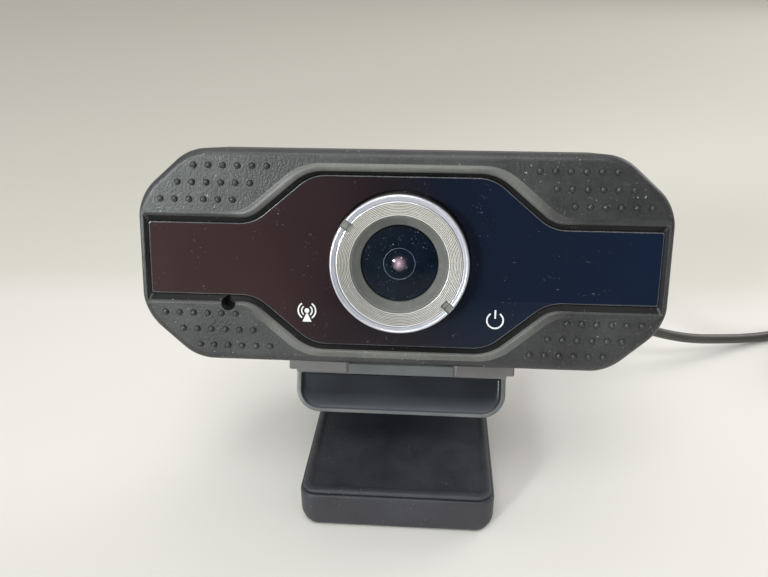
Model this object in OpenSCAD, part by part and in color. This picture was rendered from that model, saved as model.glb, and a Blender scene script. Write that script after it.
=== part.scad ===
// Webcam on a folding clip stand, resting on its folded leg, with its USB cable coiled beside it.
// Millimetres, +Z up, -Y is the side that the lens looks to. The origin is the middle of the sole.

/* [Camera head] */
// Width of the head
head_w = 97.8; // [96:0.2:100]
// Height of the head's face
head_h = 40; // [39.4:0.2:41]
// Depth of the head from its grip pads to its back
head_d = 24; // [23:0.5:26]
// Wall thickness of the two head shells
wall = 1.8; // [1.5:0.1:2]
// Upward tilt of the face at rest, in degrees
face_tilt = 13.3; // [11:0.1:15]
// Height of the lens axis above the desk, at the face
lens_height = 56.1; // [56:0.1:58]

/* [Face panel] */
// Thickness of the glossy panel
panel_t = 1.2; // [1:0.1:1.3]
// Half height of the panel's narrow arms
arm_h = 6.85; // [6:0.05:7.2]
// Half height of the panel's tall middle
mid_h = 15.95; // [15.4:0.05:16.2]
// Diameter of the microphone hole
mic_d = 2.7; // [2:0.1:2.8]

/* [Focus ring and lens] */
// Outer diameter of the silver focus ring
ring_d = 25.3; // [24.9:0.1:25.5]
// Diameter of the lens's front
lens_d = 14; // [13:0.1:14.1]
// How far the focus ring stands above the face plane
ring_n = 6; // [5.6:0.1:6.4]

/* [Clip bracket] */
// Width of the front lip and of the plate
lip_w = 44; // [42:0.5:45]
// Length of the lip below the tilt axis
lip_l = 11.9; // [11.2:0.1:12.4]
// Width over the two hinge ears
ears_w = 47.5; // [46.5:0.5:48.5]
// Radius of the tilt hinge's barrel
barrel_r = 3.2; // [3:0.1:3.3]
// Radius of the hinge pins
pin_r = 1.1; // [1:0.05:1.3]

/* [Foot] */
// Width of the foot
foot_w = 40; // [39:0.5:42]
// Length of the foot
foot_l = 57; // [56:0.5:58]
// Height of the foot's pad above the desk
foot_h = 8.8; // [8.7:0.1:9]
// Radius of the tripod socket's wall, 1/4 inch thread
socket_r = 2.55; // [2.5:0.05:2.6]

/* [USB cable] */
// Diameter of the cable
cable_d = 2.8; // [2.6:0.1:3]

/* [Hidden] */
$fn = 64;

// The two hinge axes and the middle of the face, in the Y-Z plane
tilt_y = -8.25;
tilt_z = 29.2;
leg_y = 23.65;
leg_z = 12.6;
face_y = -18.25;
slope = atan2(leg_z - tilt_z, leg_y - tilt_y);
plate_l = norm([leg_y - tilt_y, leg_z - tilt_z]);
// The tilt axis as seen from the face: up and outward
tilt_v = (tilt_y - face_y) * sin(face_tilt) + (tilt_z - lens_height) * cos(face_tilt);
tilt_n = -(tilt_y - face_y) * cos(face_tilt) + (tilt_z - lens_height) * sin(face_tilt);

// Levels along the lens axis, counted outward from the face plane
pad_n = 2.2;
panel_n = 1.3;
floor_n = panel_n - panel_t;
front_n = -1.2;
split_n = -5;
back_n = pad_n - head_d;
pcb_n = -9;
hw = head_w / 2;
hh = head_h / 2;
panel_v = -0.45;
hub_r = 10.95;
mic_at = [-32.3, -8.8];
led_at = [17.9, -10.6];
case_screw_at = [[-40, 8.5], [40, 8.5], [-40, -8.5], [40, -8.5]];
pcb_screw_at = [[-28.5, 11.2], [28.5, 11.2], [-24.5, -11.2], [24.5, -11.2]];
cord_x = 14;
cord_v = -4;
boot_l = 14;
ears_x = 11.2;
knuckle_x = 10.7;

// ---- Outlines ----
function unit(v) = v / norm(v);
// Corner p between a and b, rounded to radius r in n steps
function corner(p, a, b, r, n) =
  let (u = unit(a - p), w = unit(b - p), half = acos(max(-1, min(1, u * w))) / 2,
       c = p + unit(u + w) * (r / sin(half)), t = r / tan(half),
       s = p + u * t - c, e = p + w * t - c,
       a0 = atan2(s[1], s[0]), a1 = atan2(e[1], e[0]), d0 = a1 - a0,
       d = d0 > 180 ? d0 - 360 : d0 < -180 ? d0 + 360 : d0)
  [for (i = [0:n]) c + r * [cos(a0 + d * i / n), sin(a0 + d * i / n)]];
// A polygon with corner k rounded to rad[k]
function rounded(p, rad, n = 6) = [for (k = [0:len(p) - 1])
  each (rad[k] > 0 ? corner(p[k], p[(k + len(p) - 1) % len(p)], p[(k + 1) % len(p)], rad[k], n) : [p[k]])];
// X, or Y, where the slanted line through a and b, moved out by d, meets a level line
function slant(a, b, d) = let (n = unit([a[1] - b[1], b[0] - a[0]])) [n[0], n[1], n * a + d];
function slant_x(s, y) = (s[2] - s[1] * y) / s[0];
function slant_y(s, x) = (s[2] - s[0] * x) / s[1];
function box_pts(x, y) = [[-x, -y], [x, -y], [x, y], [-x, y]];

// The head's outline: a rectangle with long slanted corners, smaller all round by d
function head_outline(d = 0, r = 9) =
  let (s = slant([hw - 10, hh], [hw, hh - 8.8], -d), x = hw - d, y = hh - d,
       cx = slant_x(s, y), cy = slant_y(s, x))
  rounded([[-cx, -y], [cx, -y], [x, -cy], [x, cy], [cx, y], [-cx, y], [-x, cy], [-x, -cy]],
          [for (i = [0:7]) r]);
// The panel's outline: a tall middle that runs out into two narrow arms, larger all round by d
function panel_outline(d = 0) =
  let (s = slant([16.5, mid_h], [27.4, arm_h], d), m = mid_h + d, a = arm_h + d, e = hw - 1.6 + min(d, 0.3),
       x1 = slant_x(s, m), x2 = slant_x(s, a), r1 = 7.5 + d, r2 = 7.5 - d,
       p = [[-x1, -m], [x1, -m], [x2, -a], [e, -a], [e, a], [x2, a], [x1, m], [-x1, m], [-x2, a], [-e, a], [-e, -a], [-x2, -a]])
  [for (q = rounded(p, [r1, r1, r2, 0.4, 0.4, r2, r1, r1, r2, 0.4, 0.4, r2], 8)) q + [0, panel_v]];

// Places a child drawn on the face: x right, y up the face, z out along the lens axis
module on_face() translate([0, face_y, lens_height]) rotate([90 - face_tilt, 0, 0]) children();
// Places a child drawn on the clip plate: y along the plate from the tilt axis to the leg axis
module on_plate() translate([0, tilt_y, tilt_z]) rotate([slope, 0, 0]) children();
// A round bar along X between x0 and x1
module bar(r, x0, x1) translate([x0, 0, 0]) rotate([0, 90, 0]) cylinder(r = r, h = x1 - x0);
module tube(r, bore, h) difference() { cylinder(r = r, h = h); translate([0, 0, -1]) cylinder(r = bore, h = h + 2); }

// ---- Foot ----
function foot_outline(d, dy = -1) = rounded(box_pts(foot_w / 2 - d, foot_l / 2 - (dy < 0 ? d : dy)), [for (i = [0:3]) max(0.6, 3.4 - d)], 6);
foot_top = 7.9;
socket_y = -7;
module foot_shell() color("#46474c") difference() {
  union() {
    hull() {
      translate([0, 0, 0.5]) linear_extrude(0.1) polygon(foot_outline(2.6, 0.5));
      translate([0, 0, 1.6]) linear_extrude(0.1) polygon(foot_outline(0.9, 0.1));
      translate([0, 0, 3.4]) linear_extrude(foot_top - 3.4) polygon(foot_outline(0));
    }
    for (s = [-1, 1]) {
      translate([0, leg_y, leg_z]) bar(3.4, s > 0 ? 9.6 : -18.5, s > 0 ? 18.5 : -9.6);
      translate([s > 0 ? 9.6 : -18.5, leg_y - 3.4, 6]) cube([8.9, 6.8, leg_z - 6]);
    }
  }
  difference() {
    translate([0, 0, 2.5]) linear_extrude(foot_top) polygon([for (p = foot_outline(2.4)) [p[0], min(p[1], 17)]]);
    translate([0, socket_y, 0]) cylinder(r = 6, h = foot_top);
    for (x = [-12, 12]) translate([x - 0.7, -foot_l / 2, 0]) cube([1.4, foot_l, foot_top - 0.6]);
    for (y = [-18, 6]) translate([-foot_w / 2, y - 0.7, 0]) cube([foot_w, 1.4, foot_top - 0.6]);
    translate([-foot_w, -foot_l, -5]) cube([2 * foot_w, 2 * foot_l, 7.5]);
  }
  translate([0, socket_y, 0]) cylinder(r = 4.2, h = 6.7);
  translate([0, leg_y, leg_z]) bar(pin_r, -30, 30);
  // room for the bracket's rear knuckle
  translate([0, leg_y, leg_z]) bar(4, -9.6, 9.6);
}
module foot_pad() color("#2d2e32") translate([0, 0, foot_top]) {
  linear_extrude(foot_h - 0.5 - foot_top) polygon([for (p = foot_outline(0.5)) [p[0], min(p[1], 18.6)]]);
  translate([0, 0, foot_h - 0.5 - foot_top]) linear_extrude(0.5) difference() {
    polygon([for (p = foot_outline(0.8)) [p[0], min(p[1], 18.2)]]);
    polygon([for (p = foot_outline(2.4)) [p[0], min(p[1], 16.6)]]);
  }
}
module foot_sole() color("#26272a") linear_extrude(0.5) difference() {
  polygon(rounded(box_pts(foot_w / 2 - 4, foot_l / 2 - 4), [2, 2, 2, 2]));
  translate([0, socket_y]) circle(r = 4.6);
}
module tripod_insert() color("#b8913f") translate([0, socket_y, 0.5]) difference() {
  cylinder(r = 4.2, h = 6.2);
  translate([0, 0, -1]) cylinder(r = socket_r, h = 8);
  for (z = [2, 4]) translate([0, 0, z]) tube(5, 3.9, 0.5);
}
module leg_pin() color("#9a9ca0") translate([0, leg_y, leg_z]) bar(pin_r, -18, 18);
module leg_washers() color("#c9cacd") for (s = [-1, 1]) translate([s > 0 ? 9.18 : -9.52, leg_y, leg_z]) rotate([0, 90, 0]) tube(2.9, pin_r, 0.34);

// ---- Clip bracket ----
module lip_shape() {
  r = 5;
  polygon(rounded([[-lip_w / 2, 0], [-lip_w / 2, -lip_l], [lip_w / 2, -lip_l], [lip_w / 2, 0]], [0, r, r, 0], 8));
}
module clip_bracket() color("#33353a") on_plate() difference() {
  union() {
    // front lip
    translate([0, -barrel_r, 0]) rotate([90, 0, 0]) translate([0, 0, -2.6]) linear_extrude(2.6) lip_shape();
    // plate
    translate([-lip_w / 2, 0, -1.6]) cube([lip_w, plate_l - 4.2, 3.2]);
    translate([-8.9, 0, -1.6]) cube([17.8, plate_l, 3.2]);
    translate([0, plate_l, 0]) bar(3.4, -8.9, 8.9);
    // hinge ears with their front cheeks, and the rounded inner corner between lip and plate
    bar(barrel_r, -ears_w / 2, ears_w / 2);
    translate([-ears_w / 2, -barrel_r - 0.3, -barrel_r - 0.3]) cube([ears_w, 2.6, barrel_r + 0.3]);
    intersection() {
      bar(6.2, -lip_w / 2, lip_w / 2);
      translate([-lip_w / 2, -barrel_r + 0.5, -6.2]) cube([lip_w, 9, 7.8]);
    }
  }
  // room for the head's knuckle
  bar(barrel_r + 0.25, -ears_x, ears_x);
  translate([-ears_x, -barrel_r - 1, -0.3]) cube([2 * ears_x, barrel_r + 4.8, 6]);
  translate([-ears_x, -barrel_r - 1, -barrel_r - 0.4]) cube([2 * ears_x, 1.2, 6]);
  bar(pin_r, -30, 30);
  translate([0, plate_l, 0]) bar(pin_r + 0.05, -12, 12);
  // shallow dish in the lip's front
  translate([0, -barrel_r + 0.5, -barrel_r - 0.3]) rotate([90, 0, 0]) linear_extrude(2)
    polygon(rounded([[-lip_w / 2 + 1, 0], [-lip_w / 2 + 1, 4.4 - lip_l], [lip_w / 2 - 1, 4.4 - lip_l], [lip_w / 2 - 1, 0]], [0.1, 4, 4, 0.1], 6));
}
module lip_pad() color("#222326") on_plate() translate([-lip_w / 2 + 4, -0.6, -lip_l + 1]) cube([lip_w - 8, 1.2, 4.6]);
module plate_pad() color("#222326") on_plate() translate([-lip_w / 2 + 4, 7, -2.8]) cube([lip_w - 8, 20, 1.2]);
module tilt_pin() color("#9a9ca0") on_plate() bar(pin_r, -ears_w / 2 + 0.4, ears_w / 2 - 0.4);
module tilt_washers() color("#c9cacd") on_plate() for (s = [-1, 1]) translate([s > 0 ? ears_x - 0.4 : -ears_x, 0, 0]) rotate([0, 90, 0]) tube(2.8, pin_r, 0.4);

// ---- Camera head ----
module tilt_knuckle() color("#3d3e43") on_face() difference() {
  union() {
    translate([0, tilt_v, tilt_n]) bar(barrel_r, -knuckle_x, knuckle_x);
    translate([-9, tilt_v, tilt_n - 2]) cube([18, -hh + wall - tilt_v + 0.4, 5]);
    translate([-13, -hh + wall, tilt_n - 2.4]) cube([26, 1.6, 7.4]);
  }
  translate([0, tilt_v, tilt_n]) bar(pin_r + 0.05, -20, 20);
  for (x = [-11, 11]) translate([x, -hh, tilt_n + 0.5]) rotate([-90, 0, 0]) cylinder(r = 0.8, h = 10);
}
module knuckle_screws() color("#8d8f93") on_face() for (x = [-11, 11]) translate([x, 0, tilt_n + 0.5]) {
  translate([0, -hh + wall + 1.6, 0]) rotate([-90, 0, 0]) difference() {
    cylinder(r = 1.5, h = 1);
    translate([-1.6, -0.2, 0.6]) cube([3.2, 0.4, 1]);
  }
  translate([0, -hh + 0.6, 0]) rotate([-90, 0, 0]) cylinder(r = 0.8, h = wall + 1.2);
}
module front_bezel() color("#4a4a4e") on_face() difference() {
  union() {
    hull() {
      translate([0, 0, pad_n - 1.4]) linear_extrude(0.2) polygon(head_outline(0));
      translate([0, 0, pad_n - 0.5]) linear_extrude(0.1) polygon(head_outline(0.5));
      translate([0, 0, pad_n - 0.1]) linear_extrude(0.1) polygon(head_outline(1.4));
    }
    translate([0, 0, split_n]) linear_extrude(pad_n - 1.4 - split_n) polygon(head_outline(0));
  }
  difference() {
    translate([0, 0, split_n - 1]) linear_extrude(front_n - split_n + 1) polygon(head_outline(wall));
    for (p = concat(case_screw_at, pcb_screw_at)) translate([p[0], p[1], -20]) cylinder(r = 2.5, h = 20);
  }
  translate([0, 0, panel_n]) linear_extrude(3) polygon(panel_outline(0.9));
  translate([0, 0, floor_n]) linear_extrude(3) polygon(panel_outline(0.08));
  translate([0, 0, -10]) cylinder(r = hub_r + 0.05, h = 20);
  translate([mic_at[0], mic_at[1], -10]) cylinder(r = mic_d / 2, h = 20);
  translate([led_at[0], led_at[1], -10]) cylinder(r = 1.25, h = 20);
  for (p = concat(case_screw_at, pcb_screw_at)) translate([p[0], p[1], -20]) cylinder(r = 0.85, h = 19.2);
}
// The bezel's posts reach down to the board
module face_panel() color("#1b1c26") on_face() translate([0, 0, floor_n]) linear_extrude(panel_t) difference() {
  polygon(panel_outline(0));
  circle(r = ring_d / 2 + 0.35);
}
module rear_shell() color("#3f4045") on_face() difference() {
  union() {
    translate([0, 0, back_n + 7]) linear_extrude(split_n - back_n - 7) polygon(head_outline(0));
    hull() {
      translate([0, 0, back_n + 7]) linear_extrude(0.1) polygon(head_outline(0));
      translate([0, 0, back_n + 2.6]) linear_extrude(0.1) polygon(head_outline(1.4));
      translate([0, 0, back_n + 0.7]) linear_extrude(0.1) polygon(head_outline(3));
      translate([0, 0, back_n]) linear_extrude(0.1) polygon(head_outline(4.6));
    }
  }
  difference() {
    union() {
      translate([0, 0, back_n + 7]) linear_extrude(30) polygon(head_outline(wall));
      translate([0, 0, back_n + wall]) linear_extrude(6) polygon(head_outline(wall + 3));
    }
    for (p = case_screw_at) translate([p[0], p[1], -40]) cylinder(r = 2.6, h = 40 - 5.2);
  }
  for (p = case_screw_at) translate([p[0], p[1], -40]) {
    cylinder(r = 1.1, h = 40);
    cylinder(r = 2, h = 40 + back_n + 2.4);
  }
  translate([-9.2, -hh - 1, tilt_n - 2.2]) cube([18.4, wall + 2, 5.4]);
  translate([-13.2, -hh + wall, tilt_n - 2.6]) cube([26.4, 3.4, 7.8]);
  for (x = [-11, 11]) translate([x, -hh + 0.6, tilt_n + 0.5]) rotate([-90, 0, 0]) cylinder(r = 0.8, h = 3);
  translate([cord_x, cord_v, -40]) cylinder(r = 2.9, h = 30);
}
module case_screws() color("#8d8f93") on_face() for (p = case_screw_at) translate([p[0], p[1], back_n + 1]) difference() {
  union() {
    translate([0, 0, 0.4]) cylinder(r = 1.8, h = 1);
    cylinder(r = 0.85, h = 17);
  }
  for (a = [0, 90]) rotate(a) translate([-1.2, -0.2, -1]) cube([2.4, 0.4, 2]);
}
module main_pcb() color("#1f5a3a") on_face() translate([0, 0, pcb_n - 1.2]) difference() {
  linear_extrude(1.2) polygon(rounded(box_pts(33, 14), [1, 1, 1, 1], 4));
  for (p = pcb_screw_at) translate([p[0], p[1], -1]) cylinder(r = 1, h = 4);
  for (x = [-0.6, 0.6]) translate([mic_at[0] + x, mic_at[1], -1]) cylinder(r = 0.4, h = 4);
}
module pcb_screws() color("#8d8f93") on_face() for (p = pcb_screw_at) translate([p[0], p[1], pcb_n - 2.2]) difference() {
  union() {
    cylinder(r = 1.7, h = 1);
    cylinder(r = 0.85, h = 5.6);
  }
  for (a = [0, 90]) rotate(a) translate([-1.2, -0.2, -1]) cube([2.4, 0.4, 1.6]);
}
module board_chips() color("#2a2a2c") on_face() {
  translate([-12, -4, pcb_n - 2.3]) cube([8, 8, 1.1]);
  translate([-24, 1, pcb_n - 2.1]) cube([5, 6, 0.9]);
  translate([-22, -8, pcb_n - 2.7]) cube([7, 2.6, 1.5]);
  translate([26, 2, pcb_n - 1.2 - 5]) cylinder(r = 2.2, h = 5);
  for (x = [-9:3:9]) translate([x, 8, pcb_n]) cube([1.6, 0.8, 0.7]);
  for (x = [-9:3:9]) translate([x, -11, pcb_n]) cube([1.6, 0.8, 0.7]);
}
module image_sensor() color("#15161a") on_face() translate([-3.6, -3.1, pcb_n]) cube([7.2, 6.2, 0.9]);
module ir_filter() color("#9db8c4") on_face() translate([-4, -3.6, pcb_n + 1.4]) cube([8, 7.2, 0.4]);
module lens_holder() color("#202124") on_face() difference() {
  union() {
    translate([-7.5, -7, pcb_n]) cube([15, 14, 3]);
    translate([0, 0, pcb_n + 3]) cylinder(r = 7.4, h = 5);
  }
  translate([0, 0, pcb_n + 1.8]) cylinder(r = 5.56, h = 10);
  translate([-4.1, -3.7, pcb_n - 1]) cube([8.2, 7.4, 2.8]);
}
module microphone() color("#a8abb0") on_face() translate([mic_at[0], mic_at[1], front_n - 3.2]) cylinder(r = 2, h = 2.2);
module mic_boot() color("#1c1c1e") on_face() translate([mic_at[0], mic_at[1], front_n - 3.2]) difference() {
  cylinder(r = 3, h = 3.2);
  translate([0, 0, -1]) cylinder(r = 2, h = 3.2);
  cylinder(r = 0.9, h = 5);
}
module mic_wires() color("#b03a30") on_face() for (x = [-0.6, 0.6])
  translate([mic_at[0] + x, mic_at[1], pcb_n - 1.4]) cylinder(r = 0.35, h = front_n - 3.2 - pcb_n + 1.4);
module status_led() color("#e8e6d8") on_face() translate([led_at[0] - 0.8, led_at[1] - 0.5, pcb_n]) cube([1.6, 1, 0.7]);
module light_guide() color("#d5dde0") on_face() translate([led_at[0], led_at[1], pcb_n + 0.7]) cylinder(r = 1.2, h = floor_n - pcb_n - 0.7);
module usb_header() color("#e6e1d2") on_face() translate([cord_x - 4, cord_v - 2.5, pcb_n - 4.4]) cube([8, 5, 3.2]);
module inner_lead() color("#2e2e30") on_face() translate([cord_x, cord_v, back_n + wall + 1.05]) cylinder(r = 1.3, h = pcb_n - 4.4 - back_n - wall - 1.1);
module strain_relief() color("#2e2e30") on_face() translate([cord_x, cord_v, back_n]) {
  translate([0, 0, wall + 0.02]) cylinder(r = 4.2, h = 1);
  cylinder(r = 2.85, h = wall + 0.1);
  translate([0, 0, -1.2]) cylinder(r = 3.6, h = 1.2);
  translate([0, 0, -boot_l]) cylinder(r1 = 1.9, r2 = 3, h = boot_l - 1.2);
}

// ---- Focus ring, turning about the lens axis ----
rr = ring_d / 2;
module focus_ring() color("#c9c8c6") on_face() rotate_extrude($fn = 96) polygon([
  [hub_r, -2.9], [hub_r, -2], [10.4, -2], [10.4, -1.45], [hub_r, -1.45], [hub_r, panel_n + 0.3], [rr - 0.5, panel_n + 0.3],
  [rr, panel_n + 0.9], [rr, ring_n - 0.5], [rr - 0.35, ring_n], [rr - 1, ring_n], [rr - 1.15, ring_n - 0.35], [rr - 1.3, ring_n - 0.15],
  [8.95, ring_n - 0.35], [8.85, ring_n - 0.5], [8.85, 3.6], [8.4, 3.6], [8.4, -2.9]]);
module ring_insert() color("#3c3d3f") on_face() rotate_extrude($fn = 96)
  polygon([[8.85, 3.6], [8.85, ring_n - 0.55], [lens_d / 2 + 0.1, ring_n - 2.05], [lens_d / 2 + 0.06, 3.6]]);
module ring_circlip() color("#8d8f93") on_face() translate([0, 0, -1.95]) difference() {
  cylinder(r = 12, h = 0.45);
  translate([0, 0, -1]) cylinder(r = 10.4, h = 3);
  translate([7, -1.5, -1]) cube([7, 3, 3]);
}

// ---- Lens, which turns with the ring and screws in and out ----
lr = lens_d / 2;
module lens_barrel() color("#1a1b1f") on_face() rotate_extrude($fn = 96) polygon([
  [5.5, -6.8], [5.5, 0.6], [lr, 0.6], [lr, 4], [lr - 0.25, 4.15], [lr - 0.5, 4], [lr - 0.5, 3.5], [lr - 0.9, 3.5],
  [3.6, 2.4], [2.9, 2.4], [2.9, 1.2], [2.2, 1.2], [2.2, -3.8], [3.6, -3.8], [3.6, -6.8]]);
module front_lens() color("#2a3550") on_face() rotate_extrude($fn = 96)
  polygon([[0, 3.5], [lr - 0.5, 3.5], [lr - 0.5, 3.9], [4.8, 4.12], [2.6, 4.24], [0, 4.3]]);
module inner_lens() color("#5a6076") on_face() rotate_extrude($fn = 64)
  polygon([[0, 1.2], [2.9, 1.2], [2.9, 1.9], [2, 2.3], [1, 2.48], [0, 2.55]]);
module rear_lens() color("#5a6076") on_face() translate([0, 0, -5.8]) cylinder(r = 3.6, h = 2);

// ---- USB cable ----
cr = cable_d / 2;
// Turns of the coil beside each other, and its layers
coil_across = 3;
coil_up = 4;
// The cable leaves the boot's tip, sags to the right and lies down on the desk
tip = [cord_x, face_y + cord_v * sin(face_tilt) - (back_n - boot_l) * cos(face_tilt),
  lens_height + cord_v * cos(face_tilt) + (back_n - boot_l) * sin(face_tilt)];
out = [0, cos(face_tilt), -sin(face_tilt)];
coil_at = [135, 48];
coil_r = 16.5;
outer_r = coil_r + cable_d;
route = [tip - 6 * out, tip + 0.15 * out, tip + 4 * out, [14.8, 25, 40.6], [18, 31.5, 36.6], [24, 37, 31.6], [32, 41, 26.2], [42, 43, 20.6],
  [53, 43.7, 15.6], [64, 43.8, 11.5], [73, 44.6, 8.6], [82, 47.3, 6], [91.8, 51.4, 3.9], [100, 55, 2.4],
  [108.6, 58.6, 1.5], [117.5, 62.2, 1.4], [126, 65.4, 1.4], [135, 67.3, 1.4], [144, 65.6, 1.4]];
tail = [[153.2, 57, 9.9], [154.3, 48, 9.8], [154.6, 41, 8.8], [154.6, 34, 6.9], [154, 28.5, 5.3], [151.8, 23.2, 4.4],
  [147.6, 19.4, 4], [142.3, 18, 4], [140, 18, 4], [136, 18, 4]];
// A smooth curve through p, from its second point to its last but one, with n steps to a span
function curve(p, n) = concat([for (i = [1:len(p) - 3]) for (k = [0:n - 1])
  let (t = k / n, a = p[i - 1], b = p[i], c = p[i + 1], d = p[i + 2])
  ((2 * b) + (c - a) * t + (2 * a - 5 * b + 4 * c - d) * t * t + (3 * b - a - 3 * c + d) * t * t * t) / 2], [p[len(p) - 2]]);
function ring_at(c, t, r) = let (s = unit(cross(t, [0, 0, 1])), u = cross(s, t))
  [for (k = [0:7]) c + r * (s * cos(45 * k + 22.5) + u * sin(45 * k + 22.5))];
module swept(p, r) {
  m = len(p) - 1;
  pts = [for (i = [0:m]) each ring_at(p[i], unit(p[min(i + 1, m)] - p[max(i - 1, 0)]), r)];
  sides = [for (i = [0:m - 1]) for (k = [0:7]) let (a = 8 * i + k, b = 8 * i + (k + 1) % 8)
    each [[a, a + 8, b + 8], [a, b + 8, b]]];
  polyhedron(pts, concat(sides, [[for (k = [0:7]) k], [for (k = [7:-1:0]) 8 * m + k]]));
}
module usb_cable() color("#2b2a28") swept(curve(route, 2), cr);
module cable_tail() color("#2b2a28") swept(curve(tail, 2), cr);
module cable_coil() color("#2b2a28") translate([coil_at[0], coil_at[1], 0]) rotate_extrude($fn = 96) translate([coil_r, 0])
  polygon(rounded([[-coil_across * cr, 0], [coil_across * cr, 0], [coil_across * cr, coil_up * cable_d], [-coil_across * cr, coil_up * cable_d]], [1.4, 1.4, 1.4, 1.4], 4));
module cable_tie() color("#1d1d1f") translate([coil_at[0] - coil_r, coil_at[1], 0]) rotate([90, 0, 0]) translate([0, 0, -2.5]) linear_extrude(5) difference() {
  polygon(rounded([[-5.2, 0], [5.2, 0], [5.2, 12.1], [-5.2, 12.1]], [1.6, 1.6, 1.6, 1.6], 4));
  polygon(rounded([[-4.1, 0.8], [4.1, 0.8], [4.1, 11.1], [-4.1, 11.1]], [1, 1, 1, 1], 4));
}
module plug_body() color("#2b2a28") translate([118, 18, 4]) difference() {
  union() {
    rotate([0, 90, 0]) rotate(90) linear_extrude(17) polygon(rounded(box_pts(5.5, 4), [1.6, 1.6, 1.6, 1.6], 5));
    rotate([0, 90, 0]) cylinder(r = 2.6, h = 22);
  }
}
module plug_shell() color("#c4c6ca") translate([106, 12, 1.75]) difference() {
  cube([12, 12, 4.5]);
  translate([-1, 0.35, 0.35]) cube([12, 11.3, 3.8]);
  for (y = [2.4, 7.4]) translate([4, y, 3]) cube([2.2, 2.2, 3]);
}
module plug_tongue() color("#e9e9ea") translate([106.4, 12.35, 2.1]) cube([10.6, 11.3, 1.9]);

foot_shell();
foot_pad();
foot_sole();
tripod_insert();
leg_pin();
leg_washers();
clip_bracket();
lip_pad();
plate_pad();
tilt_pin();
tilt_washers();
tilt_knuckle();
knuckle_screws();
front_bezel();
face_panel();
rear_shell();
case_screws();
main_pcb();
pcb_screws();
board_chips();
image_sensor();
ir_filter();
lens_holder();
microphone();
mic_boot();
mic_wires();
status_led();
light_guide();
usb_header();
inner_lead();
strain_relief();
focus_ring();
ring_insert();
ring_circlip();
lens_barrel();
front_lens();
inner_lens();
rear_lens();
usb_cable();
cable_coil();
cable_tail();
cable_tie();
plug_body();
plug_shell();
plug_tongue();
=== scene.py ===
import bpy
import bmesh
import math
import random
import numpy as np
from mathutils import Matrix, Vector
from mathutils.geometry import tessellate_polygon


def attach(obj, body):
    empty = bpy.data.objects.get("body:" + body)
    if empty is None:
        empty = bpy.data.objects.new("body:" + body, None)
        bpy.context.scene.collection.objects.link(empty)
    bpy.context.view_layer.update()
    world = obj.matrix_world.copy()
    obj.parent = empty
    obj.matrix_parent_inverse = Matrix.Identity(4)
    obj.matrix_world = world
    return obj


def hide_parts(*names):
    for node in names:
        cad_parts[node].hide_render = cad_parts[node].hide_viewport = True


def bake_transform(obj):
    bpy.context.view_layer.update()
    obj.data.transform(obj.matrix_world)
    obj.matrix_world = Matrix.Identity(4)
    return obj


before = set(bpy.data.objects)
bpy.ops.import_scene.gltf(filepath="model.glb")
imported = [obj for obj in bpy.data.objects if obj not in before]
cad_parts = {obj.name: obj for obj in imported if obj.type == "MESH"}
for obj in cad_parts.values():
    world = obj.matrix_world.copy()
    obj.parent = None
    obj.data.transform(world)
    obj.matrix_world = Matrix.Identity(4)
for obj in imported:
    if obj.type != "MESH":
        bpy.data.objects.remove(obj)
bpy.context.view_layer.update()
random.seed(7)

# ---------------------------------------------------------------- places, in millimetres
MM = Matrix.Scale(0.001, 4)
BETA = math.radians(13.3)
ROW = Matrix.Identity(4)
FACE = Matrix.Translation((0, -18.25, 56.1)) @ Matrix.Rotation(math.radians(90 - 13.3), 4, "X")
TILT = Vector((0, -8.25, 29.2))
LEG = Vector((0, 23.65, 12.6))
SLOPE = math.atan2(LEG.z - TILT.z, LEG.y - TILT.y)
PLATE_L = (LEG - TILT).length
PLATE = Matrix.Translation(TILT) @ Matrix.Rotation(SLOPE, 4, "X")
TILT_V = (TILT.y + 18.25) * math.sin(BETA) + (TILT.z - 56.1) * math.cos(BETA)
TILT_N = -(TILT.y + 18.25) * math.cos(BETA) + (TILT.z - 56.1) * math.sin(BETA)
HW, HH, WALL = 48.9, 20.0, 1.8
PAD_N, SPLIT_N, BACK_N, PANEL_N, FLOOR_N = 2.2, -5.0, -21.8, 1.3, 0.1
PANEL_V = -0.45
MIC, LED = (-32.3, -8.8), (17.9, -10.6)
CASE_SCREWS = [(-40, 8.5), (40, 8.5), (-40, -8.5), (40, -8.5)]
PCB_SCREWS = [(-28.5, 11.2), (28.5, 11.2), (-24.5, -11.2), (24.5, -11.2)]


def lin(r, g, b):
    return tuple(((c / 255 + 0.055) / 1.055) ** 2.4 if c > 10 else c / 255 / 12.92 for c in (r, g, b)) + (1.0,)


# ---------------------------------------------------------------- camera
def set_camera():
    pitch, yaw, roll = (math.radians(a) for a in (-25.197, -4.064, -0.103))
    f = Vector((math.sin(yaw) * math.cos(pitch), math.cos(yaw) * math.cos(pitch), math.sin(pitch)))
    r = Vector((math.cos(yaw), -math.sin(yaw), 0))
    u = r.cross(f)
    r2, u2 = r * math.cos(roll) + u * math.sin(roll), -r * math.sin(roll) + u * math.cos(roll)
    cam = bpy.data.objects.new("camera", bpy.data.cameras.new("camera"))
    bpy.context.scene.collection.objects.link(cam)
    cam.data.lens, cam.data.sensor_width, cam.data.sensor_fit = 33.75, 36.0, "AUTO"
    cam.data.clip_start, cam.data.clip_end = 0.005, 30
    cam.data.dof.use_dof = False
    m = Matrix((r2, u2, -f)).transposed().to_4x4()
    m.translation = Vector((0.00571, -0.14192, 0.10845))
    cam.matrix_world = m
    bpy.context.scene.camera = cam


set_camera()


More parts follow.
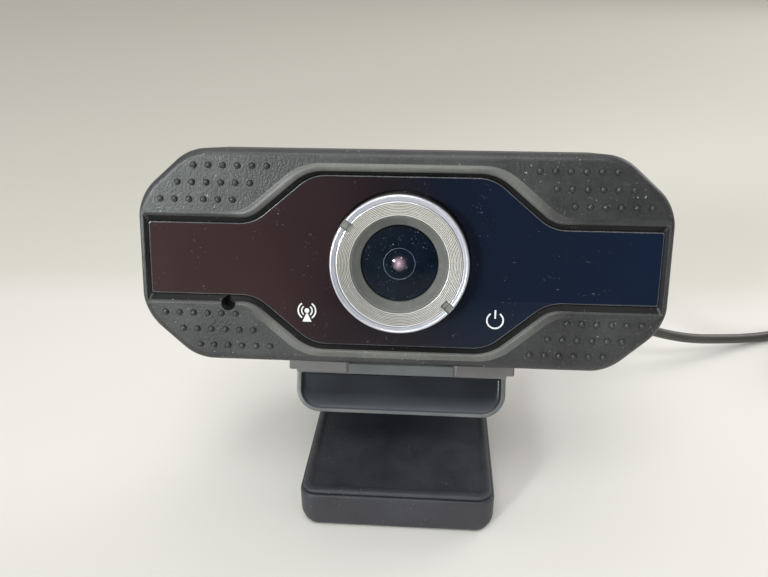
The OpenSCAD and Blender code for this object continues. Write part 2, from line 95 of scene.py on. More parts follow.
# ---------------------------------------------------------------- materials
class Mat:
    def __init__(self, name):
        self.m = bpy.data.materials.new(name)
        self.m.use_nodes = True
        self.t = self.m.node_tree
        self.t.nodes.clear()
        out = self.t.nodes.new("ShaderNodeOutputMaterial")
        self.b = self.t.nodes.new("ShaderNodeBsdfPrincipled")
        self.t.links.new(self.b.outputs[0], out.inputs[0])
        self.co = self.t.nodes.new("ShaderNodeTexCoord").outputs["Object"]

    def node(self, kind, links=(), **values):
        n = self.t.nodes.new(kind)
        for k, v in values.items():
            if k in n.inputs:
                n.inputs[k].default_value = v
            else:
                setattr(n, k, v)
        for src, dst in links:
            self.t.links.new(src, n.inputs[dst])
        return n

    def noise(self, mm, detail=2.0, rough=0.5, co=None, distortion=0.0):
        return self.node("ShaderNodeTexNoise", [(co or self.co, "Vector")], Scale=1000.0 / mm, Detail=detail,
                         Roughness=rough, Distortion=distortion).outputs["Fac"]

    def ramp(self, src, stops):
        n = self.node("ShaderNodeValToRGB", [(src, "Fac")])
        e = n.color_ramp.elements
        while len(e) < len(stops):
            e.new(0.5)
        for k, (p, c) in enumerate(stops):
            e[k].position = p
            e[k].color = c if len(c) == 4 else tuple(c) + (1,)
        return n.outputs["Color"]

    def map(self, src, a, b, lo=0.3, hi=0.7):
        return self.node("ShaderNodeMapRange", [(src, "Value")], **{"From Min": lo, "From Max": hi, "To Min": a, "To Max": b}).outputs["Result"]

    def mix(self, fac, a, b):
        n = self.t.nodes.new("ShaderNodeMix")
        n.data_type = "RGBA"
        for v, k in ((fac, 0), (a, 6), (b, 7)):
            if hasattr(v, "is_output"):
                self.t.links.new(v, n.inputs[k])
            else:
                n.inputs[k].default_value = v
        return n.outputs[2]

    def math(self, op, a, b=None):
        n = self.t.nodes.new("ShaderNodeMath")
        n.operation = op
        for k, v in enumerate((a, b)):
            if v is None:
                continue
            if hasattr(v, "is_output"):
                self.t.links.new(v, n.inputs[k])
            else:
                n.inputs[k].default_value = v
        return n.outputs[0]

    def bump(self, src, um, strength=1.0, prev=None):
        n = self.node("ShaderNodeBump", [(src, "Height")], Strength=strength, Distance=um * 1e-6)
        if prev is not None:
            self.t.links.new(prev, n.inputs["Normal"])
        return n.outputs["Normal"]

    def set(self, **values):
        for k, v in values.items():
            k = k.replace("_", " ")
            if hasattr(v, "is_output"):
                self.t.links.new(v, self.b.inputs[k])
            else:
                self.b.inputs[k].default_value = v
        return self


def moulded(name, dark, light, grain=0.25, um=18, rough=(0.42, 0.55), patch=9.0, spec=0.5, dust=0.0, dust_c=(150, 150, 146), strength=0.8):
    """Moulded plastic or rubber: fine grain, slow change of tone, and a little dust."""
    k = Mat(name)
    slow, mid, fine = k.noise(patch, 3, 0.55), k.noise(patch / 6, 3, 0.6), k.noise(grain, 2, 0.6)
    tone = k.math("ADD", k.math("MULTIPLY", slow, 0.6), k.math("MULTIPLY", fine, 0.4))
    colour = k.ramp(tone, [(0.36, lin(*dark)), (0.64, lin(*light))])
    if dust:
        speck = k.noise(0.42, 1.0, 0.4)
        where = k.map(k.noise(6.0, 2, 0.5), 0.0, 1.0, 0.42, 0.6)
        mask = k.math("MULTIPLY", k.map(speck, 0.0, 1.0, 0.745 - dust, 0.775 - dust), where)
        colour = k.mix(mask, colour, lin(*dust_c))
    r = k.map(k.math("ADD", k.math("MULTIPLY", mid, 0.7), k.math("MULTIPLY", slow, 0.3)), rough[0], rough[1])
    n = k.bump(k.noise(patch / 5, 2, 0.5), um * 0.6, 0.25)
    k.set(Base_Color=colour, Roughness=r, Normal=k.bump(fine, um, strength, n), Specular_IOR_Level=spec)
    return k.m


def crest(name, dark, light, arm_dark, arm_light):
    """The rolled shoulder: polished round the tall middle, where its colour is painted pale as a painted sheen of the
    light from above; grained and dark along the arms.
    """
    k = Mat(name)
    s = k.node("ShaderNodeSeparateXYZ", [(k.co, "Vector")])
    away = k.math("ADD", k.math("ABSOLUTE", s.outputs[0]), k.math("MULTIPLY", k.math("SUBTRACT", k.noise(7.0, 3, 0.6), 0.5), 0.006))
    arm = k.map(away, 0.0, 1.0, 0.0225, 0.0315)
    slow, fine, grain = k.noise(12.0, 3, 0.55), k.noise(0.16, 2, 0.6), k.noise(0.36, 2, 0.6)
    tone = k.math("ADD", k.math("MULTIPLY", slow, 0.6), k.math("MULTIPLY", grain, 0.4))
    # the pale tone is the painted sheen; the deep tone is the arms' own grain
    pale, deep = k.ramp(tone, [(0.36, lin(*dark)), (0.64, lin(*light))]), k.ramp(tone, [(0.36, lin(*arm_dark)), (0.64, lin(*arm_light))])
    speck = k.math("MULTIPLY", k.map(k.noise(0.3, 1.0, 0.4), 0.0, 0.7, 0.745, 0.775), k.map(k.noise(6.0, 2, 0.5), 0.0, 1.0, 0.46, 0.62))
    k.set(Base_Color=k.mix(speck, k.mix(arm, pale, deep), lin(190, 192, 190)), Roughness=k.map(slow, 0.34, 0.44), Specular_IOR_Level=0.55,
          Normal=k.bump(fine, 8, 0.6, k.bump(k.math("MULTIPLY", grain, arm), 60, 0.8)))
    return k.m


def dish_plastic():
    """The lip's hollow: dark navy plastic, painted paler towards its lower edge as a painted reflection where the
    hollow curves forward.
    """
    k = Mat("bracket_dish")
    low = k.node("ShaderNodeVectorMath", [(k.co, 0)], operation="DOT_PRODUCT")
    low.inputs[1].default_value = (0, -math.sin(SLOPE), math.cos(SLOPE))
    z0 = (-math.sin(SLOPE) * TILT.y + math.cos(SLOPE) * TILT.z) * 0.001
    slow, fine = k.noise(11.0, 3, 0.55), k.noise(0.16, 2, 0.6)
    edge = k.math("ADD", low.outputs["Value"], k.math("MULTIPLY", k.math("SUBTRACT", k.noise(5.0, 3, 0.6), 0.5), 0.0012))
    # painted reflection: the lower part of the hollow is painted paler
    painted_reflection = k.map(edge, 1.0, 0.0, z0 - 0.0107, z0 - 0.0077)
    deep = k.ramp(k.math("ADD", k.math("MULTIPLY", slow, 0.6), k.math("MULTIPLY", fine, 0.4)), [(0.36, lin(18, 21, 28)), (0.64, lin(26, 31, 40))])
    k.set(Base_Color=k.mix(painted_reflection, deep, lin(56, 61, 69)), Roughness=k.map(slow, 0.26, 0.36), Specular_IOR_Level=0.34, Normal=k.bump(fine, 1.5, 0.5))
    return k.m


def metal(name, dark, light, rough=(0.2, 0.34), grain=0.12, um=4, patch=4.0, stretch=(1, 1, 1), metallic=1.0):
    k = Mat(name)
    mp = k.node("ShaderNodeMapping", [(k.co, "Vector")])
    mp.inputs["Scale"].default_value = stretch
    fine = k.noise(grain, 3, 0.6, co=mp.outputs[0])
    slow = k.noise(patch, 3, 0.5)
    colour = k.ramp(k.math("ADD", k.math("MULTIPLY", slow, 0.5), k.math("MULTIPLY", fine, 0.5)), [(0.36, lin(*dark)), (0.64, lin(*light))])
    k.set(Base_Color=colour, Roughness=k.map(slow, rough[0], rough[1]), Metallic=metallic, Normal=k.bump(fine, um, 0.6))
    return k.m


M = {}
M["grain"] = moulded("head_grain", (26, 27, 29), (54, 55, 57), grain=0.38, um=90, rough=(0.36, 0.46), patch=11, spec=0.62, dust=0.012)
# the crest's pale middle is a painted sheen
M["crest"] = crest("head_crest", (80, 81, 79), (101, 102, 99), (27, 28, 30), (55, 56, 58))
# painted shade: the slope next to the panel is painted near-black where it faces down and in
M["painted_shade"] = moulded("head_slope_painted_dark", (18, 18, 19), (28, 28, 29), grain=0.16, um=8, rough=(0.4, 0.5), patch=12, spec=0.2, dust=0.012)
M["knuckle"] = moulded("knuckle_plastic", (96, 95, 96), (112, 111, 112), grain=0.16, um=7, rough=(0.38, 0.48), patch=9, spec=0.5, dust=0.01)
M["rear"] = moulded("rear_grain", (50, 50, 52), (68, 68, 69), grain=0.32, um=44, rough=(0.4, 0.52), patch=13, spec=0.5)
M["bracket"] = moulded("bracket_plastic", (44, 45, 49), (58, 59, 62), grain=0.14, um=5, rough=(0.26, 0.36), patch=10, spec=0.5, dust=0.0)
M["dish"] = dish_plastic()
M["rim"] = moulded("bracket_rim", (94, 96, 98), (112, 114, 116), grain=0.14, um=4, rough=(0.3, 0.4), patch=9, spec=0.5, dust=0.0)
M["ears"] = moulded("bracket_ears", (102, 98, 99), (118, 114, 115), grain=0.16, um=6, rough=(0.34, 0.44), patch=8, spec=0.5)
M["foot"] = moulded("foot_plastic", (47, 47, 53), (60, 60, 67), grain=0.2, um=9, rough=(0.42, 0.55), patch=9, spec=0.45, dust=0.015)
M["rubber"] = moulded("pad_rubber", (42, 43, 50), (60, 61, 69), grain=0.3, um=20, rough=(0.5, 0.64), patch=8, spec=0.4, dust=0.012, dust_c=(96, 98, 104))
M["pad_rim"] = moulded("pad_rim", (50, 51, 56), (66, 67, 72), grain=0.26, um=14, rough=(0.46, 0.6), patch=7, spec=0.4, dust=0.012)
# painted shade: the pad's underside edge over the shell is painted near-black for the shadow in the gap
M["painted_gap_shade"] = moulded("pad_painted_gap_shade", (14, 14, 16), (24, 24, 26), grain=0.2, um=8, rough=(0.6, 0.75), patch=6, spec=0.2)
M["boot"] = moulded("boot_rubber", (36, 36, 36), (50, 50, 49), grain=0.22, um=12, rough=(0.5, 0.62), patch=6, spec=0.4)
M["cable"] = moulded("cable_pvc", (56, 55, 50), (72, 70, 64), grain=0.2, um=7, rough=(0.36, 0.5), patch=14, spec=0.5)
M["tie"] = moulded("tie_strap", (26, 26, 28), (46, 46, 48), grain=0.22, um=90, rough=(0.8, 0.95), patch=3, spec=0.2, strength=1.0)
M["black"] = moulded("moulded_black", (20, 20, 22), (31, 31, 33), grain=0.2, um=9, rough=(0.5, 0.62), patch=5, spec=0.35)
M["chip"] = moulded("chip_black", (30, 30, 32), (44, 44, 46), grain=0.12, um=8, rough=(0.5, 0.65), patch=2, spec=0.4)
M["nylon"] = moulded("nylon_natural", (205, 203, 196), (222, 220, 213), grain=0.2, um=5, rough=(0.4, 0.5), patch=3, spec=0.45)
M["header"] = moulded("header_plastic", (222, 214, 192), (236, 230, 212), grain=0.2, um=6, rough=(0.42, 0.55), patch=3, spec=0.45)
M["white"] = moulded("plug_white", (226, 226, 228), (242, 242, 243), grain=0.2, um=5, rough=(0.35, 0.45), patch=3, spec=0.45)
M["wire"] = moulded("wire_red", (150, 34, 28), (186, 52, 42), grain=0.12, um=5, rough=(0.35, 0.5), patch=2, spec=0.5)
M["insert"] = moulded("insert_matt", (86, 88, 87), (110, 111, 109), grain=0.2, um=16, rough=(0.5, 0.64), patch=5, spec=0.35, dust=0.008)
# painted glint: the thin ring on the lens front is painted pale
M["painted_glint"] = moulded("lens_painted_glint", (92, 98, 112), (124, 130, 146), grain=0.1, um=3, rough=(0.2, 0.3), patch=2, spec=0.6)
M["lens_black"] = moulded("lens_black", (7, 10, 16), (14, 18, 26), grain=0.2, um=4, rough=(0.25, 0.38), patch=4, spec=0.25)
M["steel"] = metal("plated_steel", (150, 152, 156), (188, 190, 193), rough=(0.24, 0.38))
M["brass"] = metal("turned_brass", (176, 140, 72), (208, 172, 98), rough=(0.24, 0.4), stretch=(1, 1, 6))
M["nickel"] = metal("nickel_plate", (186, 187, 190), (214, 215, 217), rough=(0.14, 0.26), grain=0.2, um=2)
M["mic"] = metal("mic_can", (160, 162, 165), (190, 192, 194), rough=(0.3, 0.42))


def ring_metal(name, dark, light, rough=(0.22, 0.36), um=7, metal=1.0):
    """Turned and lacquered silver: streaks that run round the lens axis."""
    k = Mat(name)
    # distance from the lens axis drives fine circular streaks
    c = k.node("ShaderNodeVectorMath", [(k.co, 0)], operation="SUBTRACT")
    c.inputs[1].default_value = (0, -0.01825, 0.0561)
    r = k.node("ShaderNodeVectorRotate", [(c.outputs[0], "Vector")], rotation_type="X_AXIS", Angle=-(math.pi / 2 - BETA))
    s = k.node("ShaderNodeSeparateXYZ", [(r.outputs[0], "Vector")])
    rad = k.math("SQRT", k.math("ADD", k.math("MULTIPLY", s.outputs[0], s.outputs[0]), k.math("MULTIPLY", s.outputs[1], s.outputs[1])))
    comb = k.node("ShaderNodeCombineXYZ", [(rad, "X")])
    streak = k.node("ShaderNodeTexNoise", [(comb.outputs[0], "Vector")], Scale=7000.0, Detail=3.0, Roughness=0.7).outputs["Fac"]
    slow, fine = k.noise(3.0, 3, 0.6), k.noise(0.12, 2, 0.6)
    tone = k.math("ADD", k.math("MULTIPLY", streak, 0.65), k.math("MULTIPLY", slow, 0.35))
    colour = k.ramp(tone, [(0.34, lin(*dark)), (0.66, lin(*light))])
    k.set(Base_Color=colour, Metallic=metal, Roughness=k.map(streak, *rough), Normal=k.bump(streak, um, 0.5, k.bump(fine, 3, 0.4)))
    return k.m


def panel_gloss(name, side=False):
    """Glossy dark acrylic whose colour runs from brown at the left to navy at the right, a painted reflection of the
    room, with dust and hair scratches.
    """
    k = Mat(name)
    s = k.node("ShaderNodeSeparateXYZ", [(k.co, "Vector")])
    x = k.map(s.outputs[0], 0.0, 1.0, -0.049, 0.049)
    painted_reflection_across = k.math("ADD", x, k.math("MULTIPLY", k.math("SUBTRACT", k.noise(22.0, 2, 0.5), 0.5), 0.35))
    # painted reflection: brown at the left, navy at the right
    colour = k.ramp(painted_reflection_across, [(0.0, lin(59, 43, 43)), (0.28, lin(46, 31, 33)), (0.46, lin(30, 23, 28)), (0.6, lin(15, 23, 38)), (1.0, lin(18, 29, 50))])
    speck = k.noise(0.24, 1.0, 0.4)
    where = k.map(k.noise(5.0, 2, 0.5), 0.0, 1.0, 0.5, 0.64)
    dust = k.math("MULTIPLY", k.map(speck, 0.0, 0.55, 0.74, 0.775), where)
    # hair scratches: a stretched noise, thresholded to thin short lines
    mp = k.node("ShaderNodeMapping", [(k.co, "Vector")])
    mp.inputs["Rotation"].default_value = (0.2, 0.9, 0.4)
    mp.inputs["Scale"].default_value = (0.35, 1.0, 1.0)
    hair = k.math("MULTIPLY", k.map(k.noise(0.3, 0.0, 0.5, co=mp.outputs[0]), 0.0, 0.35, 0.83, 0.86), where)
    colour = k.mix(k.math("MAXIMUM", dust, hair), colour, lin(150, 158, 168))
    film = k.noise(7.0, 4, 0.6)
    k.set(Base_Color=colour, Roughness=k.map(film, 0.05, 0.13), Specular_IOR_Level=0.26,
          Normal=k.bump(k.noise(16.0, 1, 0.4), 12, 0.12, k.bump(dust, 12, 0.5)))
    return k.m


def board():
    k = Mat("board_green")
    mp = k.node("ShaderNodeTexBrick", [(k.co, "Vector")], Scale=160.0, Color1=lin(26, 96, 60), Color2=lin(22, 84, 52), Mortar=lin(58, 128, 84))
    mp.inputs["Mortar Size"].default_value = 0.03
    grain = k.noise(0.4, 3, 0.6)
    k.set(Base_Color=k.mix(k.map(grain, 0.0, 0.4), mp.outputs["Color"], lin(18, 72, 45)), Roughness=k.map(grain, 0.25, 0.42), Normal=k.bump(mp.outputs["Fac"], 25, 0.6))
    return k.m


def glass(name, tint, rough=0.02, dusty=True, ior=1.52, spec=0.5):
    k = Mat(name)
    film = k.noise(2.2, 3, 0.6)
    speck = k.map(k.noise(0.3, 1.0, 0.4), 0.0, 0.35, 0.66, 0.72)
    k.set(Base_Color=k.mix(speck if dusty else k.map(film, 0.0, 0.06), lin(*tint), lin(200, 205, 212)), Roughness=k.map(film, rough, rough + 0.05),
          Transmission_Weight=1.0, IOR=ior, Specular_IOR_Level=spec, Normal=k.bump(film, 3, 0.1))
    return k.m


def lens_front():
    """The lens's front: near-black navy depth under a coated, slightly dusty surface."""
    k = Mat("lens_front")
    film = k.noise(3.0, 3, 0.6)
    fine = k.noise(0.26, 1.0, 0.4)
    where = k.map(k.noise(3.4, 2, 0.5), 0.15, 1.0, 0.42, 0.62)
    speck = k.math("MULTIPLY", k.map(fine, 0.0, 0.6, 0.70, 0.75), where)
    base = k.ramp(film, [(0.3, lin(6, 14, 24)), (0.7, lin(12, 22, 36))])
    k.set(Base_Color=k.mix(speck, base, lin(150, 160, 175)), Roughness=k.map(film, 0.04, 0.1), Specular_IOR_Level=0.18, Normal=k.bump(speck, 10, 0.5))
    return k.m


def lens_inner(name, centre_mm, core, rim, reach):
    """A coated inner element whose reflex is painted into its colour: a painted reflection, brightest at the middle and
    dying off to its rim.
    """
    k = Mat(name)
    d = k.node("ShaderNodeVectorMath", [(k.co, 0)], operation="DISTANCE")
    d.inputs[1].default_value = tuple(c * 0.001 for c in centre_mm)
    warp = k.math("ADD", k.math("MULTIPLY", d.outputs["Value"], 1000.0 / reach), k.math("MULTIPLY", k.math("SUBTRACT", k.noise(0.9, 2, 0.6), 0.5), 0.7))
    colour = k.ramp(warp, [(0.0, lin(*core)), (0.35, lin(*[int(0.5 * a + 0.5 * b) for a, b in zip(core, rim)])), (0.75, lin(*rim)), (1.0, lin(10, 12, 18))])
    k.set(Base_Color=colour, Roughness=k.map(k.noise(0.5, 2, 0.5), 0.04, 0.12), Specular_IOR_Level=0.6, Coat_Weight=0.6, Coat_Roughness=0.03)
    return k.m


M["silver"] = ring_metal("ring_silver", (222, 220, 222), (248, 246, 245))
M["silver_band"] = ring_metal("ring_band", (196, 198, 212), (220, 222, 232), rough=(0.26, 0.38), um=3, metal=0.85)
M["silver_cream"] = ring_metal("ring_cream", (236, 234, 229), (252, 251, 247), rough=(0.2, 0.3), um=2, metal=0.75)
M["notch"] = moulded("ring_notch", (96, 96, 94), (128, 128, 125), grain=0.16, um=12, rough=(0.5, 0.65), patch=3, spec=0.4)
# painted shade: the ring's groove walls and floors are painted dark brown-grey
M["groove"] = moulded("ring_groove", (38, 37, 34), (60, 58, 54), grain=0.14, um=5, rough=(0.4, 0.55), patch=3, spec=0.4)
M["panel"] = panel_gloss("panel_gloss")
M["panel_edge"] = moulded("panel_edge", (58, 60, 64), (92, 94, 98), grain=0.14, um=4, rough=(0.2, 0.32), patch=5, spec=0.6)
M["print"] = moulded("print_white", (206, 208, 208), (232, 233, 232), grain=0.1, um=5, rough=(0.45, 0.6), patch=2, spec=0.35)
M["board"] = board()
M["lens_front"] = lens_front()
M["filter"] = glass("filter_glass", (196, 224, 232), dusty=False)
M["guide"] = glass("guide_clear", (228, 236, 240), dusty=False)
M["rear_glass"] = glass("rear_glass", (150, 170, 200), dusty=False)


# ---------------------------------------------------------------- outlines
def unit(v):
    return v / np.linalg.norm(v)


def corner(p, a, b, r, n):
    p, a, b = np.array(p, float), np.array(a, float), np.array(b, float)
    u, w = unit(a - p), unit(b - p)
    half = math.acos(max(-1, min(1, float(u @ w)))) / 2
    c, t = p + unit(u + w) * (r / math.sin(half)), r / math.tan(half)
    s, e = p + u * t - c, p + w * t - c
    a0, a1 = math.atan2(s[1], s[0]), math.atan2(e[1], e[0])
    d = a1 - a0
    d = d - 2 * math.pi if d > math.pi else d + 2 * math.pi if d < -math.pi else d
    return [c + r * np.array([math.cos(a0 + d * i / n), math.sin(a0 + d * i / n)]) for i in range(n + 1)]


def rounded(p, rad, n=8):
    out = []
    for k in range(len(p)):
        out += corner(p[k], p[k - 1], p[(k + 1) % len(p)], rad[k], n) if rad[k] > 0 else [np.array(p[k], float)]
    return out


def slant(a, b, d):
    n = unit(np.array([a[1] - b[1], b[0] - a[0]], float))
    return n[0], n[1], float(n @ np.array(a, float)) + d


def slant_x(s, y):
    return (s[2] - s[1] * y) / s[0]


def slant_y(s, x):
    return (s[2] - s[0] * x) / s[1]


def head_outline(d=0.0, r=9.0, n=12):
    s = slant([HW - 10, HH], [HW, HH - 8.8], -d)
    x, y = HW - d, HH - d
    cx, cy = slant_x(s, y), slant_y(s, x)
    return rounded([[-cx, -y], [cx, -y], [x, -cy], [x, cy], [cx, y], [-cx, y], [-x, cy], [-x, -cy]], [r] * 8, n)


def panel_outline(d=0.0, n=9):
    s = slant([16.5, 15.95], [27.4, 6.85], d)
    m, a, e = 15.95 + d * (0.78 if d > 0 else 1), 6.85 + d, 47.3 + (min(d, 0.1) + max(d - 0.1, 0) * 0.33)
    x1, x2 = slant_x(s, m), slant_x(s, a)
    r1, r2 = 7.5 + d, 7.5 - d
    p = [[-x1, -m], [x1, -m], [x2, -a], [e, -a], [e, a], [x2, a], [x1, m], [-x1, m], [-x2, a], [-e, a], [-e, -a], [-x2, -a]]
    return [q + np.array([0, PANEL_V]) for q in rounded(p, [r1, r1, r2, 0.4, 0.4, r2, r1, r1, r2, 0.4, 0.4, r2], n)]


def split_counts(loop, step):
    return [max(1, math.ceil(np.linalg.norm(loop[(k + 1) % len(loop)] - loop[k]) / step)) for k in range(len(loop))]


def split(loop, counts):
    out = []
    for k, c in enumerate(counts):
        a, b = loop[k], loop[(k + 1) % len(loop)]
        out += [a + (b - a) * i / c for i in range(c)]
    return out


def smooth(lo, hi, x):
    t = max(0.0, min(1.0, (x - lo) / (hi - lo)))
    return t * t * (3 - 2 * t)


# ---------------------------------------------------------------- mesh building
SLOTS = [bpy.data.materials.new("slot_%d" % k) for k in range(5)]


class Build:
    """Gathers closed shells in millimetres, then makes one object in metres."""

    def __init__(self):
        self.v, self.f, self.m = [], [], []

    def ring(self, pts):
        k = len(self.v)
        self.v += [tuple(float(c) for c in p) for p in pts]
        return list(range(k, k + len(pts)))

    def bridge(self, a, b, mat=0):
        n = len(a)
        for i in range(n):
            j = (i + 1) % n
            if len(b) == 1:
                self.f.append((a[i], a[j], b[0]))
            elif len(a) == 1:
                self.f.append((a[0], b[j], b[i]))
            else:
                self.f.append((a[i], a[j], b[j], b[i]))
            self.m.append(mat)

    def fan(self, a, point, mat=0):
        c = len(self.v)
        self.v.append(tuple(point))
        n = len(a)
        for i in range(n):
            self.f.append((a[i], a[(i + 1) % n], c))
            self.m.append(mat)

    def fill(self, loops, mat=0):
        flat = [i for l in loops for i in l]
        for t in tessellate_polygon([[Vector(self.v[i]) for i in l] for l in loops]):
            self.f.append(tuple(flat[i] for i in t))
            self.m.append(mat)

    def loft(self, rings, mats=0, caps=(False, False)):
        ids = [self.ring(r) for r in rings]
        for k in range(len(ids) - 1):
            self.bridge(ids[k], ids[k + 1], mats if isinstance(mats, int) else mats[k])
        first, last = (mats, mats) if isinstance(mats, int) else (mats[0], mats[-1])
        if caps[0]:
            self.fill([ids[0]], first)
        if caps[1]:
            self.fill([ids[-1]], last)
        return ids

    def revolve(self, profile, n=96, mats=0, closed=True, move=None):
        """Turns (r, z) points about the Z axis. closed joins the last point to the first."""
        rings = []
        for q in profile:
            r, z = q[0], q[1]
            if r < 1e-6:
                pts = [(0, 0, z)]
            else:
                pts = [(r * math.cos(2 * math.pi * i / n), r * math.sin(2 * math.pi * i / n), z) for i in range(n)]
            if move:
                pts = [move(Vector(p), q) for p in pts]
            rings.append(self.ring(pts))
        k = len(rings)
        for i in range(k if closed else k - 1):
            a, b = rings[i], rings[(i + 1) % k]
            if len(a) == 1 and len(b) == 1:
                continue
            mat = mats if isinstance(mats, int) else mats[i]
            if len(a) == 1:
                for j in range(n):
                    self.f.append((a[0], b[j], b[(j + 1) % n]))
                    self.m.append(mat)
            else:
                self.bridge(a, b, mat)
        return rings

    def shifted(self, start, m):
        """Moves every vertex added since start by matrix m."""
        for i in range(start, len(self.v)):
            self.v[i] = tuple(m @ Vector(self.v[i]))

    def raw(self, name):
        me = bpy.data.meshes.new(name)
        me.from_pydata(self.v, [], self.f)
        for k in range(max(self.m) + 1):
            me.materials.append(SLOTS[k])
        me.polygons.foreach_set("material_index", self.m)
        me.update()
        bm = bmesh.new()
        bm.from_mesh(me)
        bmesh.ops.recalc_face_normals(bm, faces=bm.faces)
        bm.to_mesh(me)
        bm.free()
        o = bpy.data.objects.new(name, me)
        bpy.context.scene.collection.objects.link(o)
        return o


def cut(obj, cutters, op="DIFFERENCE"):
    for c in cutters:
        mod = obj.modifiers.new("cut", "BOOLEAN")
        mod.operation, mod.solver, mod.object = op, "EXACT", c
        bpy.context.view_layer.update()
        made = bpy.data.meshes.new_from_object(obj.evaluated_get(bpy.context.evaluated_depsgraph_get()))
        obj.modifiers.clear()
        obj.data = made
    for c in cutters:
        bpy.data.objects.remove(c)
    return obj


def drop(obj, add):
    """Joins another object's mesh into obj."""
    bm = bmesh.new()
    bm.from_mesh(obj.data)
    bm.from_mesh(add.data)
    bm.to_mesh(obj.data)
    bm.free()
    bpy.data.objects.remove(add)


def finish(o, place, mats, body=None, replaces=(), sharp=32.0, weighted=True):
    o.data.transform(MM @ place)
    index = [min(p.material_index, len(mats) - 1) for p in o.data.polygons]
    o.data.materials.clear()
    for m in mats:
        o.data.materials.append(M[m])
    o.data.polygons.foreach_set("material_index", index)
    o.data.update()
    bm = bmesh.new()
    bm.from_mesh(o.data)
    bmesh.ops.remove_doubles(bm, verts=bm.verts, dist=2e-7)
    loose = [v for v in bm.verts if not v.link_faces]
    bmesh.ops.delete(bm, geom=loose, context="VERTS")
    lim = math.radians(sharp)
    for f in bm.faces:
        f.smooth = True
    for e in bm.edges:
        e.smooth = not (len(e.link_faces) == 2 and e.calc_face_angle(0) > lim)
    bm.to_mesh(o.data)
    bm.free()
    if weighted:
        w = o.modifiers.new("even_shading", "WEIGHTED_NORMAL")
        w.keep_sharp, w.weight = True, 80
    if body:
        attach(o, body)
    if replaces:
        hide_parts(*replaces)
    return o


def cylinder(name, r, z0, z1, at=(0, 0), n=48):
    b = Build()
    pts = [(at[0] + r * math.cos(2 * math.pi * i / n), at[1] + r * math.sin(2 * math.pi * i / n)) for i in range(n)]
    b.loft([[(x, y, z0) for x, y in pts], [(x, y, z1) for x, y in pts]], caps=(True, True))
    return b.raw(name)


def prism(name, loop, z0, z1):
    b = Build()
    b.loft([[(p[0], p[1], z0) for p in loop], [(p[0], p[1], z1) for p in loop]], caps=(True, True))
    return b.raw(name)


def arc(r, a0, a1, n):
    return [(r * math.cos(math.radians(a0 + (a1 - a0) * i / n)), r * math.sin(math.radians(a0 + (a1 - a0) * i / n))) for i in range(n + 1)]


def soft_box(b, lo, hi, r=0.5, mat=0, n=4):
    """A box with rounded edges all round, as a closed shell."""
    lo, hi = Vector(lo), Vector(hi)
    r = min(r, *[(hi[k] - lo[k]) / 2.01 for k in range(3)])

    def outline(d):
        x0, x1, y0, y1 = lo.x + d, hi.x - d, lo.y + d, hi.y - d
        return rounded([[x0, y0], [x1, y0], [x1, y1], [x0, y1]], [max(r - d * 0.8, 0.02)] * 4, n)

    rings = []
    for k in range(n + 1):
        t = math.pi / 2 * k / n
        rings.append([(p[0], p[1], lo.z + r * (1 - math.sin(t))) for p in outline(r * (1 - math.cos(t)))])
    rings = rings[::-1]
    for k in range(n + 1):
        t = math.pi / 2 * k / n
        rings.append([(p[0], p[1], hi.z - r + r * math.sin(t)) for p in outline(r * (1 - math.cos(t)))])
    b.loft(rings, mat, caps=(True, True))


def barrel(b, r, x0, x1, round_r=0.5, mat=0, n=48, place=Matrix.Identity(4)):
    """A round bar along X with rounded ends."""
    start = len(b.v)
    prof = [(0, x0)]
    for k in range(5):
        t = math.pi / 2 * k / 4
        prof.append((r - round_r + round_r * math.sin(t), x0 + round_r * (1 - math.cos(t))))
    for k in range(5):
        t = math.pi / 2 * (4 - k) / 4
        prof.append((r - round_r + round_r * math.sin(t), x1 - round_r * (1 - math.cos(t))))
    prof.append((0, x1))
    b.revolve(prof, n, mat, closed=False)
    b.shifted(start, place @ Matrix.Rotation(math.radians(90), 4, "Y"))


# ---------------------------------------------------------------- the cable, first of all
TIP = Vector((14, -18.25 - 4 * math.sin(BETA) - (BACK_N - 14) * math.cos(BETA), 56.1 - 4 * math.cos(BETA) + (BACK_N - 14) * math.sin(BETA)))
OUT = Vector((0, math.cos(BETA), -math.sin(BETA)))
ROUTE = [TIP - 6 * OUT, TIP, TIP + 4 * OUT] + [Vector(p) for p in (
    (14.8, 25, 40.6), (18, 31.5, 36.6), (24, 37, 31.6), (32, 41, 26.2), (42, 43, 20.6), (53, 43.7, 15.6), (64, 43.8, 11.5),
    (73, 44.6, 8.6), (82, 47.3, 6), (91.8, 51.4, 3.9), (100, 55, 2.4), (108.6, 58.6, 1.5), (117.5, 62.2, 1.4), (126, 65.4, 1.4), (135, 67.3, 1.4))]
TAIL = [Vector(p) for p in ((154.3, 48, 9.8), (154.6, 41, 8.8), (154.6, 34, 6.9), (154, 28.5, 5.3), (151.8, 23.2, 4.4),
                            (147.6, 19.4, 4), (142.3, 18, 4), (139, 18, 4))]
COIL = Vector((135, 48, 0))
CR = 1.4


